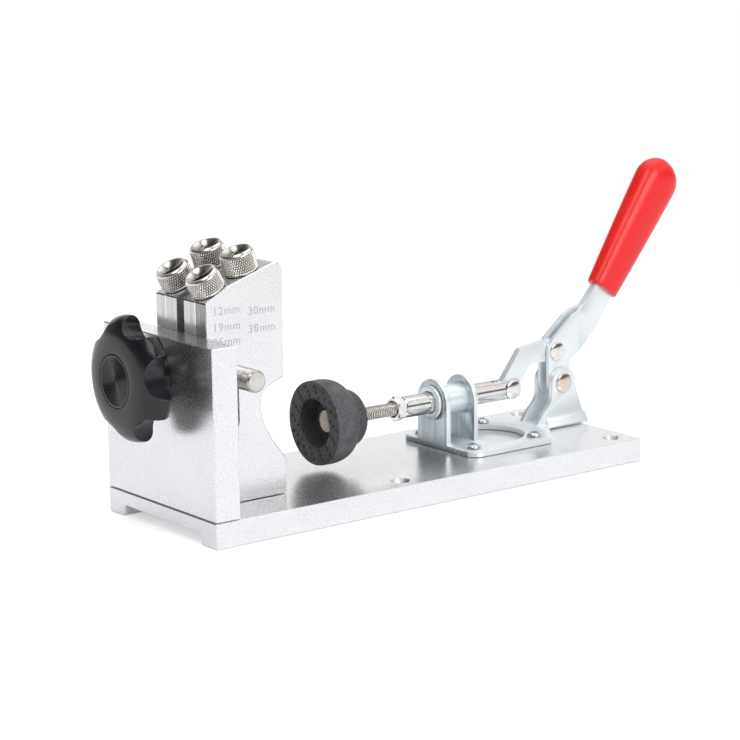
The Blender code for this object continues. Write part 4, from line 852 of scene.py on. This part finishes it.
def screws():
    """Round-headed screws with a cross recess."""
    middle, half_pitch = 4.5, 23.75
    bed, head, rise = 17.6, 4.3, 2.1  # underside, radius and height of the head
    deep, top, arm, slot = bed + 0.9, bed + 4, 2.3, 0.45  # the recess
    number = 0
    for x in (200.0, 246.0):
        for y in (middle - half_pitch, middle + half_pitch):
            number += 1
            profile = [(7.0, 0), (7.0, 2.3), (7.4, 2.5), (bed, 2.5), (bed, head - 0.15), (bed + 0.15, head)]
            for step in range(1, 9):
                turn = math.pi / 2 * step / 9
                profile.append((bed + 0.15 + rise * math.sin(turn), head * math.cos(turn) ** 0.6))
            profile.append((bed + 2.3, 0))
            body = lathe(profile, (x, y, 0), ALONG_Z, 48)
            bmesh.ops.recalc_face_normals(body, faces=body.faces)
            cuts = []
            for u, v in ((arm, slot), (slot, arm)):
                bar = [(x - u, y - v), (x + u, y - v), (x + u, y + v), (x - u, y + v)]
                cuts.append(prism(bar, deep, top, "Z"))
            piece(f"foot_screw_{number}", carve(body, cuts), f"clamp_screw_{number}", slot="screw", smooth=30)


def grip():
    """Dipped vinyl grip: flattened oval sections, a rolled mouth and a round end."""
    foot = Vector((PIVOT_X + 37.4, PIVOT_Z + 51.5))
    along = Vector(polar(1.0, math.radians(54.5)))
    cross = Vector((along.y, -along.x))
    length, rounding = 90.0, 15.0
    straight = length - rounding
    flatness, squareness = 0.64, 0.8
    pocket_wide, pocket_deep, pocket_end = 7.5, 2.5, 62.3

    def half_width(station):
        share = min(station / straight, 1.0)
        over = max(station - straight, 0.0) / rounding
        swell = 0.25 * math.sin(math.pi * share)
        return (10.7 + 4.1 * share + swell) * math.sqrt(max(1 - over * over, 0.0))

    def oval(turn):
        return math.copysign(abs(turn) ** squareness, turn)

    stations = [(0.0, -2.2), (0.0, -1.2), (0.06, -0.7), (0.25, -0.3), (0.7, -0.05), (1.2, 0.0)]
    stations += [(straight * k / 24, 0.0) for k in range(1, 25)]
    stations += [(straight + rounding * math.sin(math.pi / 2 * k / 18), 0.0) for k in range(1, 18)]
    bm = bmesh.new()
    around = 72
    rings = []
    for station, inset in stations:
        half = half_width(station) + inset
        centre = foot + along * station
        ring = []
        for k in range(around):
            angle = math.tau * k / around
            spot = centre + cross * (half * oval(math.cos(angle)))
            ring.append(bm.verts.new((spot.x, CLAMP_Y + half * flatness * oval(math.sin(angle)), spot.y)))
        rings.append(ring)
    skin(bm, rings)
    bm.faces.new(rings[0])
    tip = foot + along * length
    skin(bm, [rings[-1], [bm.verts.new((tip.x, CLAMP_Y, tip.y))] * around])
    bmesh.ops.recalc_face_normals(bm, faces=bm.faces)
    start, end = foot - along * 12, foot + along * pocket_end
    side = cross * pocket_wide
    corners = [tuple(corner) for corner in (start + side, end + side, end - side, start - side)]
    pocket = prism(corners, CLAMP_Y - pocket_deep, CLAMP_Y + pocket_deep, "Y")
    piece("grip_sleeve", carve(bm, [pocket]), "grip", smooth=45)


def stamped_foot():
    """The clamp's foot, with drawing marks and painted shade, in a darker zinc, down the faces of its two
    lugs.
    """
    foot = dressed("clamp_base", "stamped_foot", 0.45).data
    foot.materials.append(PAINT["drawn_zinc_painted_shade"])
    lugs_end = 216.0
    # Painted shade: faces across X on the lugs take the darker zinc
    for face in foot.polygons:
        if abs(face.normal.x) > 0.9 and face.center.x < LEFT + lugs_end / 1000:
            face.material_index = 1


def size_marks():
    """Plain board thicknesses in millimetres on the near face of the guide block, above the foot."""
    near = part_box("guide_block")[0].y
    left, right = 20.2, 42.6
    lift = 0.00004  # metres off the face, like the letters' size and thickness
    for word, x, z in (("12mm", left, 117.2), ("19mm", left, 108.5), ("25mm", left, 100.6),
                       ("30mm", right, 115.0), ("38mm", right, 105.3)):
        data = bpy.data.curves.new(f"mark_{word}", "FONT")
        data.body = word
        data.size = 0.0064
        data.space_character = 1.12
        data.extrude = 0.00002
        data.align_x = "LEFT"
        text = bpy.data.objects.new(f"size_mark_{word}", data)
        bpy.context.scene.collection.objects.link(text)
        text.matrix_world = (Matrix.Translation((LEFT + x / 1000, near - lift, z / 1000))
                             @ Matrix.Rotation(math.pi / 2, 4, "X"))
        data.materials.append(PAINT["mark"])
        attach(text, "guide")


def finish_nodes():
    """Materials on the CAD nodes that stay as they are, painted shade on the near part of the guide block's
    back, and two bright seams down that back as painted highlights.
    """
    for node, obj in frame["nodes"].items():
        obj.data.materials.clear()
        obj.data.materials.append(PAINT[SLOT[node]])
        obj.data.shade_smooth()
        obj.data.set_sharp_from_angle(angle=math.radians(30))
    guide = frame["nodes"]["guide_block"].data
    guide.materials.append(PAINT["milled"])
    guide.materials.append(PAINT["milled_painted_shade"])
    back, shaded = LEFT + GUIDE_BACK / 1000, -0.0147  # in metres
    # Painted shade: back faces nearer than the near seam take the darker milled copy, the rest the milled
    # finish
    for face in guide.polygons:
        if face.normal.x < -0.6 and face.center.x < back + 0.0012:
            face.material_index = 2 if face.center.y < shaded else 1
            face.use_smooth = False
    # Painted highlight: thin strips over the two seams, in a whiter, glossier metal, stand in for the light
    # the seams catch
    half, low, high = 0.42, 30.0, 123.7
    for name, y in (("near", -BUSHING_Y), ("far", BUSHING_Y)):
        outline = [(y - half, low), (y + half, low), (y + half, high), (y - half, high)]
        strip = prism(outline, GUIDE_BACK - 0.08, GUIDE_BACK + 0.06, "X")
        piece(f"seam_{name}", strip, "guide_block", slot="seam", stands_for_node=False)


finish_nodes()
stamped_foot()
dressed("link", "link_plate", 0.4)
dressed("handle", "lever", 0.4)
knob()
knob_cap()
rubber_pad()
bushings()
spindle()
jam_nut()
plunger()
guide_tube()
pin_and_stud()
rivets()
screws()
grip()
size_marks()

view = bpy.context.scene.view_settings
view.view_transform = "Standard"
